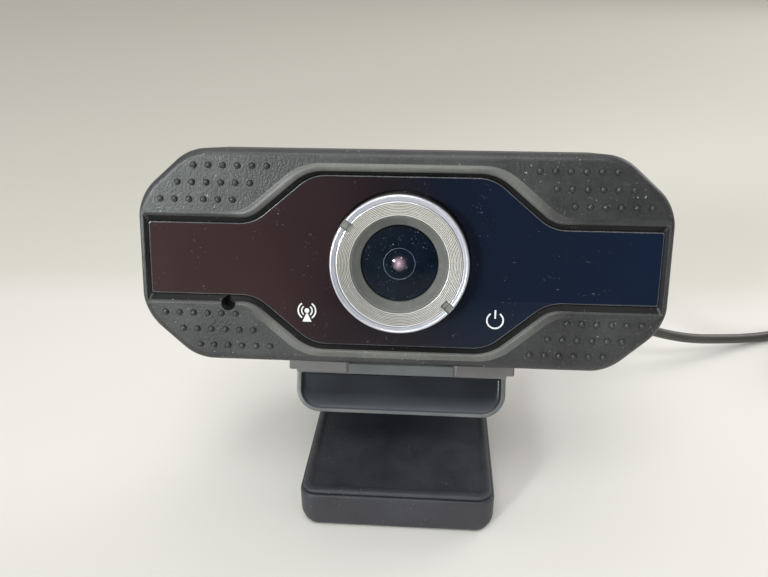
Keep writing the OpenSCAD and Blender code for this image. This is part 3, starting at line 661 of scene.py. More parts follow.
def coil_points():
    """Eleven and a quarter turns in four layers, clockwise from above. The turns step over between the tie and the far side."""
    radii = [19.3, 16.5, 13.7]
    seats = [(r, 1.4 + 2.8 * k) for k in range(4) for r in (radii if k % 2 == 0 else radii[::-1])]
    pts = []
    step = 15
    total = int(11.25 * 360)
    for a in range(step, total, step):
        ang = 90 - a
        # position within the turn, counted clockwise from 90 degrees
        turn, part = divmod(a, 360)
        k, nxt = min(turn, 11), min(turn + 1, 11)
        (r0, z0), (r1, z1) = seats[k], seats[nxt]
        # the window for stepping over runs from 278 to 338 degrees of each turn
        up = abs(z1 - z0) > 0.1
        w = smooth(272, 352, part) if up else smooth(278, 338, part)
        bulge = 0.0
        if up and nxt != k:
            bulge = 1.3 * math.sin(math.pi * w) * (-1 if r0 < 15 else 1)
        r, z = r0 + (r1 - r0) * w + bulge, z0 + (z1 - z0) * w
        wave = 0.12 * math.sin(math.radians(3.1 * a)) + 0.08 * math.sin(math.radians(1.7 * a + 40))
        r += wave * (0 if a < 40 or a > total - 40 else 1)
        pts.append(Vector((COIL.x + r * math.cos(math.radians(ang)), COIL.y + r * math.sin(math.radians(ang)), z)))
    return pts


def catmull(p, steps):
    q = [p[0] * 2 - p[1]] + list(p) + [p[-1] * 2 - p[-2]]
    out = []
    for i in range(1, len(q) - 2):
        a, b, c, d = q[i - 1], q[i], q[i + 1], q[i + 2]
        ta = max((b - a).length, 1e-6) ** 0.5
        tb = max((c - b).length, 1e-6) ** 0.5
        tc = max((d - c).length, 1e-6) ** 0.5
        m1 = (c - b) / tb - (c - a) / (ta + tb) + (b - a) / ta
        m2 = (d - c) / tc - (d - b) / (tb + tc) + (c - b) / tb
        m1, m2 = m1 * tb, m2 * tb
        n = steps
        for k in range(n):
            t = k / n
            out.append((2 * t ** 3 - 3 * t ** 2 + 1) * b + (t ** 3 - 2 * t ** 2 + t) * m1 + (-2 * t ** 3 + 3 * t ** 2) * c + (t ** 3 - t ** 2) * m2)
    out.append(p[-1].copy())
    return out


def tube(b, line, r, n=16, mat=0, caps=True):
    t0 = (line[1] - line[0]).normalized()
    side = t0.cross(Vector((0, 0, 1))).normalized()
    rings = []
    for i, p in enumerate(line):
        t = (line[min(i + 1, len(line) - 1)] - line[max(i - 1, 0)]).normalized()
        side = (side - t * side.dot(t)).normalized()
        up = t.cross(side)
        rr = r(i) if callable(r) else r
        rings.append([p + side * rr * math.cos(2 * math.pi * k / n) + up * rr * math.sin(2 * math.pi * k / n) for k in range(n)])
    b.loft(rings, mat, caps=(caps, caps))


lead = catmull([TIP + 0.15 * OUT] + ROUTE[2:], 3)
far = 0.0
join = 0
while far < 21.0:
    far += (lead[join + 1] - lead[join]).length
    join += 1
pigtail, run = [TIP - 3 * OUT, TIP - 1.5 * OUT] + lead[:join + 1], lead[join:]
body_line = catmull(coil_points(), 1)
whole = run[:-1] + catmull([run[-1]] + body_line + TAIL, 1)[0:]
b = Build()
tube(b, pigtail, CR)
pig = finish(b.raw("cable_exit"), ROW, ["cable"], sharp=60)
b = Build()
tube(b, whole, CR)
cable = finish(b.raw("usb_lead"), ROW, ["cable"], replaces=["usb_cable", "cable_coil", "cable_tail"], sharp=60)
length = sum((whole[i + 1] - whole[i]).length for i in range(len(whole) - 1))
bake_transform(pig)
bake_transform(cable)


# ---------------------------------------------------------------- plug and tie
def plug():
    b = Build()
    place = Matrix.Translation((118, 18, 4)) @ Matrix.Rotation(math.radians(90), 4, "Y") @ Matrix.Rotation(math.radians(90), 4, "Z")
    # local x runs across (row y), local y up (row z), z along the plug (row x)

    def box(hx, hy, r):
        return rounded([[-hx, -hy], [hx, -hy], [hx, hy], [-hx, hy]], [r] * 4, 5)

    rings = []
    prof = [(5.0, 3.5, 0.0), (5.35, 3.85, 0.25), (5.5, 4.0, 0.7), (5.5, 4.0, 4.5)]
    z = 5.0
    for k in range(5):  # grip ridges
        prof += [(5.5, 4.0, z), (5.12, 3.72, z + 0.35), (5.12, 3.72, z + 0.85), (5.5, 4.0, z + 1.2)]
        z += 1.8
    prof += [(5.5, 4.0, 15.2), (5.2, 3.75, 16.2), (4.4, 3.2, 16.9), (3.4, 2.8, 17.0)]
    for hx, hy, z in prof:
        rings.append([(p[0], p[1], z) for p in box(hx, hy, 1.6)])
    b.loft(rings, 0, caps=(True, True))
    neck = [(0, 16.5), (2.75, 16.5), (2.75, 17.3)]
    z = 17.3
    for k in range(3):
        neck += [(2.6 - 0.12 * k, z + 0.25), (2.2 - 0.1 * k, z + 0.5), (2.2 - 0.1 * k, z + 0.9), (2.5 - 0.14 * k, z + 1.15)]
        z += 1.4
    neck += [(2.1, 21.8), (1.75, 22.0), (0, 22.0)]
    b.revolve(neck, 32, 0, closed=False)
    return finish(b.raw("plug_grip"), place, ["cable"], "foot", ["plug_body"])


def tie():
    b = Build()

    def loop(hx, z0, z1, r, n=7):
        return rounded([[-hx, z0], [hx, z0], [hx, z1], [-hx, z1]], [r] * 4, n)

    # a band: cross-section points are (inset from the outer loop, place along Y)
    sec = [(0.0, -2.2), (0.0, 2.2), (0.12, 2.42), (0.35, 2.5), (0.75, 2.5), (0.9, 2.4), (0.95, 2.2), (0.95, -2.2), (0.9, -2.4), (0.75, -2.5), (0.35, -2.5), (0.12, -2.42)]
    rings = []
    for d, y in sec:
        rings.append([(p[0], y, p[1]) for p in loop(5.2 - d, 0.02 + d * 0.35, 12.1 - d, max(2.2 - d, 0.4))])
    ids = [b.ring(r) for r in rings]
    for k in range(len(ids)):
        b.bridge(ids[k], ids[(k + 1) % len(ids)])
    # its overlapping end
    soft_box(b, (-4.3, -2.35, 11.9), (2.6, 2.35, 12.75), 0.35)
    soft_box(b, (-6.1, -2.35, 5.2), (-5.1, 2.35, 10.6), 0.4)
    o = finish(b.raw("tie_band"), Matrix.Translation((118.5, 48, 0)), ["tie"], "foot", ["cable_tie"])
    return o


plug_piece, tie_piece = plug(), tie()


# ---------------------------------------------------------------- head: front bezel
def make_bezel():
    b = Build()
    base = head_outline(0)
    counts = split_counts(base, 2.5)
    ref = split(base, counts)
    end_w = [(1 - smooth(8.0, 11.6, abs(p[1]))) * (1 if abs(p[0]) > 44 else 0) for p in ref]

    def outer(d, n):
        a, c = split(head_outline(d), counts), split(head_outline(d * 0.43), counts)
        return [(a[i][0] * (1 - w) + c[i][0] * w, a[i][1] * (1 - w) + c[i][1] * w, n) for i, w in enumerate(end_w)]

    prof = [(0.4, -5.0), (0.14, -4.93), (0.0, -4.75), (0.0, -2.0), (0.0, 0.8)]
    for k in range(1, 10):
        t = math.pi / 2 * k / 9
        prof.append((1.4 * (1 - math.cos(t)), 0.8 + 1.4 * math.sin(t)))
    ids = b.loft([outer(d, n) for d, n in prof], [0] * 4 + [0] * 9)
    pb = panel_outline(0)
    pc = split_counts(pb, 2.5)
    w_mid = [1 - smooth(26.0, 33.0, abs(p[0])) for p in split(pb, pc)]

    def inner(d1, d0, n1, n0):
        a, c = split(panel_outline(d1), pc), split(panel_outline(d0), pc)
        return [(a[i][0] * w + c[i][0] * (1 - w), a[i][1] * w + c[i][1] * (1 - w), n1 * w + n0 * (1 - w)) for i, w in enumerate(w_mid)]

    steps = [(0.08, 0.08, 0.1, 0.1), (0.08, 0.08, 1.05, 1.05), (0.16, 0.16, 1.2, 1.2), (0.5, 0.6, 1.55, 1.5), (0.95, 1.15, 2.02, 1.95),
             (1.12, 1.35, 2.26, 2.12), (1.4, 1.5, 2.44, 2.18), (1.75, 1.62, 2.5, 2.2), (2.1, 1.75, 2.44, 2.21), (2.4, 1.9, 2.33, 2.205), (2.62, 2.05, 2.24, 2.2), (2.78, 2.2, 2.2, 2.2)]
    # the wall and slope beside the panel take the painted shade; the shoulder above takes the crest, painted pale at
    # the middle as a painted sheen
    inn = b.loft([inner(*s) for s in steps], [2, 2, 2, 2, 1, 1, 1, 1, 1, 1, 1])
    b.fill([ids[-1], inn[-1]], 0)
    b.fill([inn[0]], 2)
    b.fill([ids[0]], 0)
    o = b.raw("front_frame")
    # the arms' open ends are grained like the rest of the head, without the slope's painted shade
    for f in o.data.polygons:
        if f.material_index == 2 and abs(f.center.x) > 46.9 and f.center.z > 0.2:
            f.material_index = 1
    # hollow behind, with its screw posts
    cavity = prism("cavity", head_outline(WALL, 8), -6.0, -1.2)
    cut(cavity, [cylinder("post", 2.5, -8, 0, p, 28) for p in CASE_SCREWS + PCB_SCREWS])
    tools = [cavity, cylinder("hub", 11.0, -9, 4.0, n=128), cylinder("mic", 1.35, -9, 6, MIC, 40), cylinder("led", 1.25, -9, 6, LED, 32)]
    tools += [cylinder("bore", 0.85, -9, -0.8, p, 20) for p in CASE_SCREWS + PCB_SCREWS]
    cut(o, tools)
    # raised grip dots in every corner
    g = Build()
    dome = [(0.0, -0.08), (0.6, -0.08), (0.6, 0.03), (0.57, 0.18), (0.48, 0.34), (0.33, 0.45), (0.16, 0.51), (0.0, 0.52)]
    for sx in (-1, 1):
        for sy in (-1, 1):
            for x0, y in ((24.45, 16.95), (27.6, 13.85), (30.95, 10.75)):
                for k in range(6):
                    s = len(g.v)
                    g.revolve(dome, 18, 0, closed=False)
                    g.shifted(s, Matrix.Translation((sx * (x0 + 2.7 * k), sy * y, PAD_N)))
    drop(o, g.raw("dots"))
    return finish(o, FACE, ["grain", "crest", "painted_shade"], "camera_head", ["front_bezel"], sharp=38)


make_bezel()


# ---------------------------------------------------------------- head: glossy panel and its two printed marks
def make_panel():
    b = Build()
    counts = split_counts(panel_outline(0), 3.0)
    hole = [13.0 * math.cos(2 * math.pi * i / 128) for i in range(128)]
    holey = [13.0 * math.sin(2 * math.pi * i / 128) for i in range(128)]

    def outer(d, n):
        return [(p[0], p[1], n) for p in split(panel_outline(d), counts)]

    def inner(d, n):
        return [(x * (1 + d / 13.0), y * (1 + d / 13.0), n) for x, y in zip(hole, holey)]

    o_ids = b.loft([outer(-0.0, 0.1), outer(0.0, 1.14), outer(-0.06, 1.25), outer(-0.2, 1.3)], [1, 1, 1])
    i_ids = b.loft([inner(0, 0.1), inner(0, 1.16), inner(0.05, 1.26), inner(0.14, 1.3)], [0, 0, 0])
    b.fill([o_ids[-1], i_ids[-1]], 0)
    b.fill([o_ids[0], i_ids[0]], 0)
    return finish(b.raw("gloss_panel"), FACE, ["panel", "panel_edge"], "camera_head", ["face_panel"], sharp=20)


make_panel()


def flat_shape(b, loop, z0=1.29, z1=1.33):
    b.loft([[(x, y, z0) for x, y in loop], [(x, y, z1) for x, y in loop]], 0, caps=(True, True))


def band(r0, r1, a0, a1, cx, cy, n=18):
    return [(cx + x, cy + y) for x, y in arc(r1, a0, a1, n)] + [(cx + x, cy + y) for x, y in arc(r0, a1, a0, n)]


def make_marks():
    b = Build()
    cx, cy = -17.45, -9.95
    flat_shape(b, [(cx + x, cy + y) for x, y in arc(0.46, 0, 350, 23)])
    for s in (0, 180):
        flat_shape(b, band(0.86, 1.12, s - 52, s + 52, cx, cy))
        flat_shape(b, band(1.52, 1.8, s - 56, s + 56, cx, cy))
    flat_shape(b, [(cx - 0.88, cy - 2.15), (cx + 0.88, cy - 2.15), (cx + 0.14, cy - 0.55), (cx - 0.14, cy - 0.55)])
    finish(b.raw("signal_mark"), FACE, ["print"], "camera_head", weighted=False)
    b = Build()
    cx, cy = 17.9, -10.75
    flat_shape(b, band(1.36, 1.66, 124, 416, cx, cy, 40))
    flat_shape(b, [(cx - 0.16, cy + 0.35), (cx + 0.16, cy + 0.35), (cx + 0.16, cy + 2.0), (cx - 0.16, cy + 2.0)])
    finish(b.raw("power_mark"), FACE, ["print"], "camera_head", weighted=False)


make_marks()


# ---------------------------------------------------------------- head: rear shell
def make_rear():
    b = Build()
    counts = split_counts(head_outline(0), 3.0)

    def outer(d, n):
        return [(p[0], p[1], n) for p in split(head_outline(d, max(9 - 0.3 * d, 5)), counts)]

    prof = [(0.4, -5.02), (0.14, -5.09), (0.0, -5.25), (0.0, -9.0), (0.0, -14.4)]
    for k in range(1, 15):
        t = math.pi / 2 * k / 14
        prof.append((4.4 * (1 - math.cos(t)), -14.4 - 7.4 * math.sin(t)))
    ids = b.loft([outer(d, n) for d, n in prof], 0)
    b.fill([ids[-1]])
    b.fill([ids[0]])
    o = b.raw("back_shell")
    cavity = prism("cavity", head_outline(WALL, 8), -14.5, 0)
    deep = prism("deep", head_outline(WALL + 3, 7), BACK_N + WALL, -14.0)
    cut(cavity, [deep], "UNION")
    cut(cavity, [cylinder("post", 2.6, -40, -5.2, p, 28) for p in CASE_SCREWS])
    k = Build()
    soft_box(k, (-9.3, -22.5, TILT_N - 2.3), (9.3, -17.0, TILT_N + 3.3), 0.3)
    slot = k.raw("slot")
    k = Build()
    soft_box(k, (-13.2, -18.2, TILT_N - 2.6), (13.2, -14.8, TILT_N + 5.2), 0.1)
    pocket = k.raw("pocket")
    tools = [cavity, pocket, slot, cylinder("cord", 3.0, -40, -10, (14, -4), 40)]
    for p in CASE_SCREWS:
        tools += [cylinder("bore", 1.1, -40, 0, p, 24), cylinder("sink", 2.0, -40, BACK_N + 2.4, p, 32)]
    # three short vent slots high on the back
    for s in (-1, 0, 1):
        k = Build()
        soft_box(k, (s * 9 - 3.4, 9.2, -30), (s * 9 + 3.4, 10.2, BACK_N + 0.7), 0.45)
        tools.append(k.raw("vent"))
    cut(o, tools)
    return finish(o, FACE, ["rear"], "camera_head", ["rear_shell"], sharp=38)


make_rear()


# ---------------------------------------------------------------- focus ring, insert and lens
def make_ring():
    b = Build()
    rr = 12.65
    outer = [(11.0 - 0.05, -2.9), (10.95, -2.0), (10.4, -2.0), (10.4, -1.45), (10.95, -1.45), (10.95, 1.6), (rr - 0.5, 1.6), (rr - 0.12, 1.75), (rr, 2.1)]
    outer += [(rr, 3.0), (rr, 4.5), (rr, 5.45), (rr - 0.04, 5.66), (rr - 0.12, 5.83), (rr - 0.24, 5.94), (rr - 0.38, 5.96), (rr - 0.46, 5.88),
              (rr - 0.52, 5.86), (rr - 0.6, 5.84), (rr - 0.8, 5.83), (11.62, 5.82), (11.54, 5.8), (11.5, 5.5), (11.42, 5.48), (11.37, 5.86)]
    mats = [0] * (len(outer) - 12) + [1] * 12
    r = 11.3
    while r > 9.14:
        h = 5.9 - 0.11 * (11.3 - r)
        outer += [(r, h), (r - 0.175, h - 0.02), (r - 0.19, h - 0.13), (r - 0.255, h - 0.14)]
        # each groove's walls and floor take the groove colour, a painted shade in the groove
        mats += [2, 4, 4, 4]
        r -= 0.27
    outer += [(9.03, 5.66), (8.93, 5.64), (8.87, 5.56), (8.85, 5.45), (8.85, 3.6), (8.4, 3.6), (8.4, -2.9)]
    mats += [2] + [0] * 6
    mats += [0] * (len(outer) - len(mats))
    n = 360
    marks = (144.0, -40.0)

    def move(p, q):
        if q[1] < 5.5:
            return p
        r, a = math.hypot(p.x, p.y), math.degrees(math.atan2(p.y, p.x))
        for m in marks:
            off = abs((a - m + 180) % 360 - 180) * math.pi / 180 * r
            w = (1 - smooth(0.62, 0.85, off)) * smooth(10.6, 10.8, r) * (1 - smooth(12.5, 12.6, r) * 0.3)
            p = Vector((p.x, p.y, p.z + (5.3 - p.z) * w))
        return p

    b.revolve(outer, n, mats, move=move)
    o = b.raw("focus_ring_turned")
    for f in o.data.polygons:
        r, a = math.hypot(f.center.x, f.center.y), math.degrees(math.atan2(f.center.y, f.center.x))
        off = min(abs((a - m + 180) % 360 - 180) for m in marks) * math.pi / 180 * r
        if off < 0.8 and 10.7 < r < 12.6 and f.center.z > 4.9:
            f.material_index = 3
    finish(o, FACE, ["silver", "silver_band", "silver_cream", "notch", "groove"], "ring", ["focus_ring"], sharp=40, weighted=False)
    return o


make_ring()


def make_lens():
    b = Build()
    prof = [(8.84, 3.6), (8.84, 5.4), (8.78, 5.45), (8.6, 5.4)]
    for k in range(1, 9):
        t = k / 8
        prof.append((8.6 - 1.42 * t, 5.4 - 1.33 * t - 0.06 * math.sin(math.pi * t)))
    prof += [(7.13, 4.0), (7.07, 3.92), (7.07, 3.6)]
    b.revolve(prof, 128, 0)
    finish(b.raw("cone_insert"), FACE, ["insert"], "ring", ["ring_insert"], sharp=40)
    b = Build()
    b.revolve([(5.5, -6.8), (5.5, -0.2), (5.5, 0.6), (7, 0.6), (7, 3.7), (6.98, 3.8), (6.94, 3.86), (6.9, 3.84), (6.88, 3.7), (6.86, 3.5), (6.6, 3.45), (6.4, 3.4),
               (6.2, 3.2), (5.6, 3.16), (5.5, 3.0), (5.0, 2.96), (4.9, 2.62), (4.2, 2.58), (4.1, 2.3), (3.3, 2.24), (2.92, 2.2), (2.9, 1.2), (2.2, 1.2), (2.2, -3.8), (3.6, -3.8), (3.6, -6.8)], 128, 0)
    finish(b.raw("barrel_threads"), FACE, ["lens_black"], "ring", ["lens_barrel"], sharp=25)
    # the front of the lens is a shallow dark dome with a thin raised ring on it, painted pale as a painted glint; the
    # small inner lens sits in its middle
    b = Build()

    def dome(r):
        return 4.3 - 0.4 * (r / 6.5) ** 2

    prof = [(0, 3.6), (1.42, 3.6), (1.42, dome(1.42) - 0.05), (1.5, dome(1.5))]
    prof += [(2.0, dome(2.0)), (2.5, dome(2.5)), (2.8, dome(2.8)), (2.82, dome(2.82) + 0.02), (2.88, dome(2.88) + 0.02), (2.9, dome(2.9))]
    mats = [0] * 7 + [1] + [0] * 2
    for k in range(1, 13):
        prof.append((2.9 + 3.9 * k / 12, dome(2.9 + 3.9 * k / 12)))
    prof += [(6.84, 3.8), (6.84, 3.62), (6.2, 3.5), (0, 3.5)]
    mats += [0] * (len(prof) - len(mats))
    b.revolve(prof, 128, mats, closed=False)
    finish(b.raw("front_element"), FACE, ["lens_front", "painted_glint"], "ring", ["front_lens"], sharp=40)
    b = Build()
    prof = [(0, 3.6), (1.4, 3.6), (1.4, 4.14)]
    for k in range(1, 11):
        t = k / 10
        prof.append((1.4 * (1 - t), 4.14 + 0.26 * (1 - (1 - t) ** 2)))
    b.revolve(prof, 96, 0, closed=False)
    finish(b.raw("inner_element"), FACE, ["lens_eye_painted_reflex"], "ring", ["inner_lens"], sharp=40)


# centre of the inner lens's painted reflection
eye = FACE @ Vector((-0.05, 0.1, 4.38))
M["lens_eye_painted_reflex"] = lens_inner("lens_eye_painted_reflex", eye, (206, 184, 198), (84, 60, 82), 1.35)
make_lens()


# ---------------------------------------------------------------- knuckle under the head
def make_knuckle():
    b = Build()
    barrel(b, 3.2, -10.7, 10.7, 0.25, 0, 64, Matrix.Translation((0, TILT_V, TILT_N)))
    soft_box(b, (-9, TILT_V, TILT_N - 2), (9, -17.8, TILT_N + 3), 0.4)
    soft_box(b, (-13, -18.18, TILT_N - 2.4), (13, -16.6, TILT_N + 5.0), 0.3)
    return finish(b.raw("head_knuckle"), FACE, ["knuckle"], "camera_head", ["tilt_knuckle"])


make_knuckle()


def make_boot():
    b = Build()
    prof = [(0, 2.8), (4.0, 2.8), (4.2, 2.6), (4.2, 2.0), (4.0, 1.83), (2.85, 1.8), (2.85, 0.02), (3.3, 0.0), (3.55, -0.15), (3.6, -0.4), (3.6, -0.85), (3.5, -1.1), (3.05, -1.2)]
    z = -1.4
    k = 0
    while z > -12.6:
        r = 3.0 - 0.088 * (-z - 1.2)
        prof += [(r, z), (r, z - 0.75), (r - 0.09, z - 0.86), (r - 0.42, z - 0.95), (r - 0.42, z - 1.3), (r - 0.09, z - 1.4)]
        z -= 1.5
        k += 1
    prof += [(1.95, -13.4), (1.85, -13.85), (1.55, -14.0), (0, -14.0)]
    b.revolve(prof, 40, 0, closed=False)
    return finish(b.raw("cable_boot"), FACE @ Matrix.Translation((14, -4, BACK_N)), ["boot"], "camera_head", ["strain_relief"])


make_boot()


# ---------------------------------------------------------------- clip bracket
def make_bracket():
    b = Build()
    w, l, t0, t1 = 22.0, 11.9, -0.6, -3.2

    def lip(i, y):
        r = 5 - i
        p = rounded([[-w + i, -0.2], [-w + i, -l + i], [w - i, -l + i], [w - i, -0.2], [11.3 - i, -0.2], [11.3 - i, -3.2 - i], [-11.3 + i, -3.2 - i], [-11.3 + i, -0.2]],
                    [0.3, r, r, 0.3, 0.1, 0.15, 0.15, 0.1], 8)
        return [(q[0], y, q[1]) for q in p]

    ids = b.loft([lip(0.4, t0), lip(0.12, t0 - 0.1), lip(0, t0 - 0.35), lip(0, t1 + 0.4), lip(0.05, t1 + 0.2), lip(0.16, t1 + 0.06), lip(0.34, t1)], [0, 0, 0, 0, 3, 3])
    b.fill([ids[0]], 0)

    def dish(s, lo, top, y):
        r = max(4.1 - s, 1.0)
        p = rounded([[-21.1 + s, -3.62 - top], [-21.1 + s, -11.2 + lo], [21.1 - s, -11.2 + lo], [21.1 - s, -3.62 - top]], [0.25, r, r, 0.25], 8)
        return [(q[0], y, q[1]) for q in p]

    steps = [(0, 0, 0, -3.2), (0.08, 0.1, 0.05, -3.14), (0.2, 0.35, 0.1, -3.02), (0.35, 0.8, 0.18, -2.88), (0.5, 1.5, 0.25, -2.76), (0.7, 2.5, 0.35, -2.68), (0.95, 3.4, 0.5, -2.66)]
    din = b.loft([dish(*s) for s in steps], [3, 1, 1, 1, 1, 1])
    b.fill([ids[-1], din[0]], 3)
    b.fill([din[-1]], 1)
    # the lip's thin top edge in front of the knuckle
    soft_box(b, (-11.25, -3.2, -3.6), (11.25, -2.84, -1.5), 0.16, 3)
    # plate and rear knuckle
    soft_box(b, (-22, 0.3, -1.6), (22, PLATE_L - 4.2, 1.6), 0.7, 0, 5)
    soft_box(b, (-8.9, 0, -1.55), (8.9, PLATE_L, 1.55), 0.3)
    barrel(b, 3.4, -8.9, 8.9, 0.35, 0, 64, Matrix.Translation((0, PLATE_L, 0)))
    # rounded inside corner between lip and plate, in two halves beside the knuckle's room
    for s in (-1, 1):
        x0, x1 = (11.3, 21.9) if s > 0 else (-21.9, -11.3)
        loop = [(x, y) for x, y in ((-2.6, -0.2), (-2.6, -5.4))] + [(6.1 * math.cos(math.radians(a)), 6.1 * math.sin(math.radians(a))) for a in range(-112, -14, 7)] + [(6.2, -0.2)]
        b.loft([[(x0, p[0], p[1]) for p in loop], [(x1, p[0], p[1]) for p in loop]], 0, caps=(True, True))
        barrel(b, 3.2, *((11.2, 23.75) if s > 0 else (-23.75, -11.2)), 0.55, 2, 64)
        # a flat shoulder on top of each ear, running into the plate
        soft_box(b, (min(x0, x1) + (0 if s > 0 else 0.0), -0.2, -1.2), (max(x0, x1), 5.6, 3.1), 0.6, 2)
        # the cheek that covers the joint between ear and lip, and its small step at the side
        c0, c1 = (11.25, 23.7) if s > 0 else (-23.7, -11.25)
        soft_box(b, (c0, -3.5, -3.1), (c1, -0.6, 0.2), 0.45, 2)
        c0, c1 = (11.25, 22.1) if s > 0 else (-22.1, -11.25)
        soft_box(b, (c0, -3.48, -3.55), (c1, -1.2, -2.2), 0.3, 2)
    return finish(b.raw("clip_bracket_moulded"), PLATE, ["bracket", "dish", "ears", "rim"], "bracket", ["clip_bracket"])


make_bracket()


def make_pads():
    b = Build()
    soft_box(b, (-18, -0.62, -10.9), (18, 0.6, -6.3), 0.45)
    x = -16.5
    while x < 16.6:
        soft_box(b, (x - 0.45, 0.45, -10.4), (x + 0.45, 0.72, -6.8), 0.1)
        x += 1.65
    finish(b.raw("lip_grip"), PLATE, ["rubber"], "bracket", ["lip_pad"])
    b = Build()
    soft_box(b, (-18, 7, -2.8), (18, 27, -1.55), 0.45)
    y = 8.6
    while y < 26:
        soft_box(b, (-16.6, y - 0.45, -3.0), (16.6, y + 0.45, -2.7), 0.1)
        y += 1.7
    finish(b.raw("plate_grip"), PLATE, ["rubber"], "bracket", ["plate_pad"])


make_pads()


# ---------------------------------------------------------------- foot
def make_foot():
    b = Build()

    def outline(d, z):
        e = d if z > 4 else 0.19 * d
        p = rounded([[-20 + d, -28.5 + e], [20 - d, -28.5 + e], [20 - d, 28.5 - e], [-20 + d, 28.5 - e]], [max(3.4 - 0.75 * d, 0.8)] * 4, 9)
        return [(q[0], q[1], z) for q in p]

    prof = [(2.2, 0.5)]
    for k in range(0, 10):
        t = math.pi / 2 * k / 9
        prof.append((2.0 * (1 - math.sin(t)), 0.5 + 2.5 * (1 - math.cos(t))))
    prof += [(0, 5.0), (0, 7.3), (0.04, 7.55), (0.14, 7.74), (0.3, 7.84), (0.55, 7.86), (0.9, 7.86)]
    b.loft([outline(d, z) for d, z in prof], 0, caps=(True, True))
    o = b.raw("foot_moulded")
    cut(o, [cylinder("socket", 4.2, -2, 6.7, (0, -7), 48)])
    e = Build()
    for s in (-1, 1):
        x0, x1 = (9.6, 18.5) if s > 0 else (-18.5, -9.6)
        barrel(e, 3.4, x0, x1, 0.4, 0, 64, Matrix.Translation((0, LEG.y, LEG.z)))
        soft_box(e, (x0, LEG.y - 3.38, 6.8), (x1, LEG.y + 3.38, LEG.z), 0.35)
    drop(o, e.raw("ears"))
    finish(o, ROW, ["foot"], "foot", ["foot_shell"], sharp=40)
    # the rubber pad with its raised rim
    b = Build()

    def pad(d, z):
        p = rounded([[-20 + d, -28.5 + d], [20 - d, -28.5 + d], [20 - d, 18.95 - d], [-20 + d, 18.95 - d]], [max(3.3 - 0.6 * d, 1.2), max(3.3 - 0.6 * d, 1.2), 1.2, 1.2], 9)
        return [(q[0], q[1], z) for q in p]

    prof = [(0.95, 7.86), (0.75, 7.87), (0.62, 7.95), (0.56, 8.1), (0.56, 8.3), (0.62, 8.5), (0.78, 8.66), (1.05, 8.77), (1.4, 8.8), (1.65, 8.79), (1.85, 8.75), (2.05, 8.69), (2.25, 8.63), (2.5, 8.59), (2.9, 8.57), (4.0, 8.56)]
    # the first three bands, the pad's underside edge over the shell, take the gap's painted shade
    b.loft([pad(d, z) for d, z in prof], [1, 1, 1] + [2] * 9 + [0] * 3, caps=(True, True))
    finish(b.raw("foot_pad_rubber"), ROW, ["rubber", "painted_gap_shade", "pad_rim"], "foot", ["foot_pad"], sharp=40)
    b = Build()
    rings = []
    for d, z in ((0.5, 0.0), (0.15, 0.06), (0.0, 0.2), (0.0, 0.52)):
        rings.append([(q[0], q[1], z) for q in rounded([[-16 + d, -24.5 + d], [16 - d, -24.5 + d], [16 - d, 24.5 - d], [-16 + d, 24.5 - d]], [2] * 4, 7)])
    b.loft(rings, 0, caps=(True, True))
    o = b.raw("sole_rubber")
    cut(o, [cylinder("socket", 4.6, -2, 3, (0, -7), 48)])
    finish(o, ROW, ["rubber"], "foot", ["foot_sole"], sharp=30)


make_foot()


# ---------------------------------------------------------------- materials of the CAD nodes that stay
KEEP = {
    "tripod_insert": "brass", "leg_pin": "steel", "tilt_pin": "steel", "leg_washers": "nylon", "tilt_washers": "nylon",
    "knuckle_screws": "steel", "case_screws": "steel", "pcb_screws": "steel", "ring_circlip": "steel", "main_pcb": "board",
    "board_chips": "chip", "image_sensor": "chip", "ir_filter": "filter", "lens_holder": "black", "microphone": "mic",
    "mic_boot": "boot", "mic_wires": "wire", "status_led": "white", "light_guide": "guide", "usb_header": "header",
    "inner_lead": "cable", "rear_lens": "rear_glass", "plug_shell": "nickel", "plug_tongue": "white",
}
for name, key in KEEP.items():
    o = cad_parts[name]
    if not o.material_slots:
        o.data.materials.append(M[key])
    for s in o.material_slots:
        s.link = "OBJECT"
        s.material = M[key]


# ---------------------------------------------------------------- floor, backdrop and light
def make_stage():
    me = bpy.data.meshes.new("floor")
    me.from_pydata([(-6, -6, 0), (6, -6, 0), (6, 6, 0), (-6, 6, 0)], [], [(0, 1, 2, 3)])
    o = bpy.data.objects.new("floor", me)
    bpy.context.scene.collection.objects.link(o)
    k = Mat("floor_pale")
    s = k.node("ShaderNodeSeparateXYZ", [(k.co, "Vector")])
    along = k.math("ADD", s.outputs[1], k.math("MULTIPLY", s.outputs[0], -0.02))
    # painted shade: the floor is painted darker towards the back, and a little towards the left, standing in for the
    # light falling off with distance
    painted_falloff = k.map(along, 0.0, 1.0, 0.074, 0.1)
    tone = k.noise(260.0, 2, 0.5)
    near = k.ramp(tone, [(0.3, lin(229, 227, 223)), (0.7, lin(235, 233, 229))])
    far = k.ramp(k.map(along, 0.0, 1.0, 0.1, 1.1), [(0.0, lin(222, 220, 212)), (0.12, lin(216, 214, 206)), (0.35, lin(212, 209, 201)), (1.0, lin(208, 205, 196))])
    k.set(Base_Color=k.mix(painted_falloff, near, far), Roughness=0.55, Specular_IOR_Level=0.25)
    me.materials.append(k.m)


make_stage()


def area(name, at, to, size, power, colour=(1, 1, 1), size_y=None):
    l = bpy.data.lights.new(name, "AREA")
    l.energy, l.color, l.size = power, colour, size
    if size_y:
        l.shape, l.size_y = "RECTANGLE", size_y
    o = bpy.data.objects.new(name, l)
    bpy.context.scene.collection.objects.link(o)
    o.location = at
    o.rotation_mode = "QUATERNION"
    o.rotation_quaternion = (Vector(to) - Vector(at)).to_track_quat("-Z", "Y")
    return o


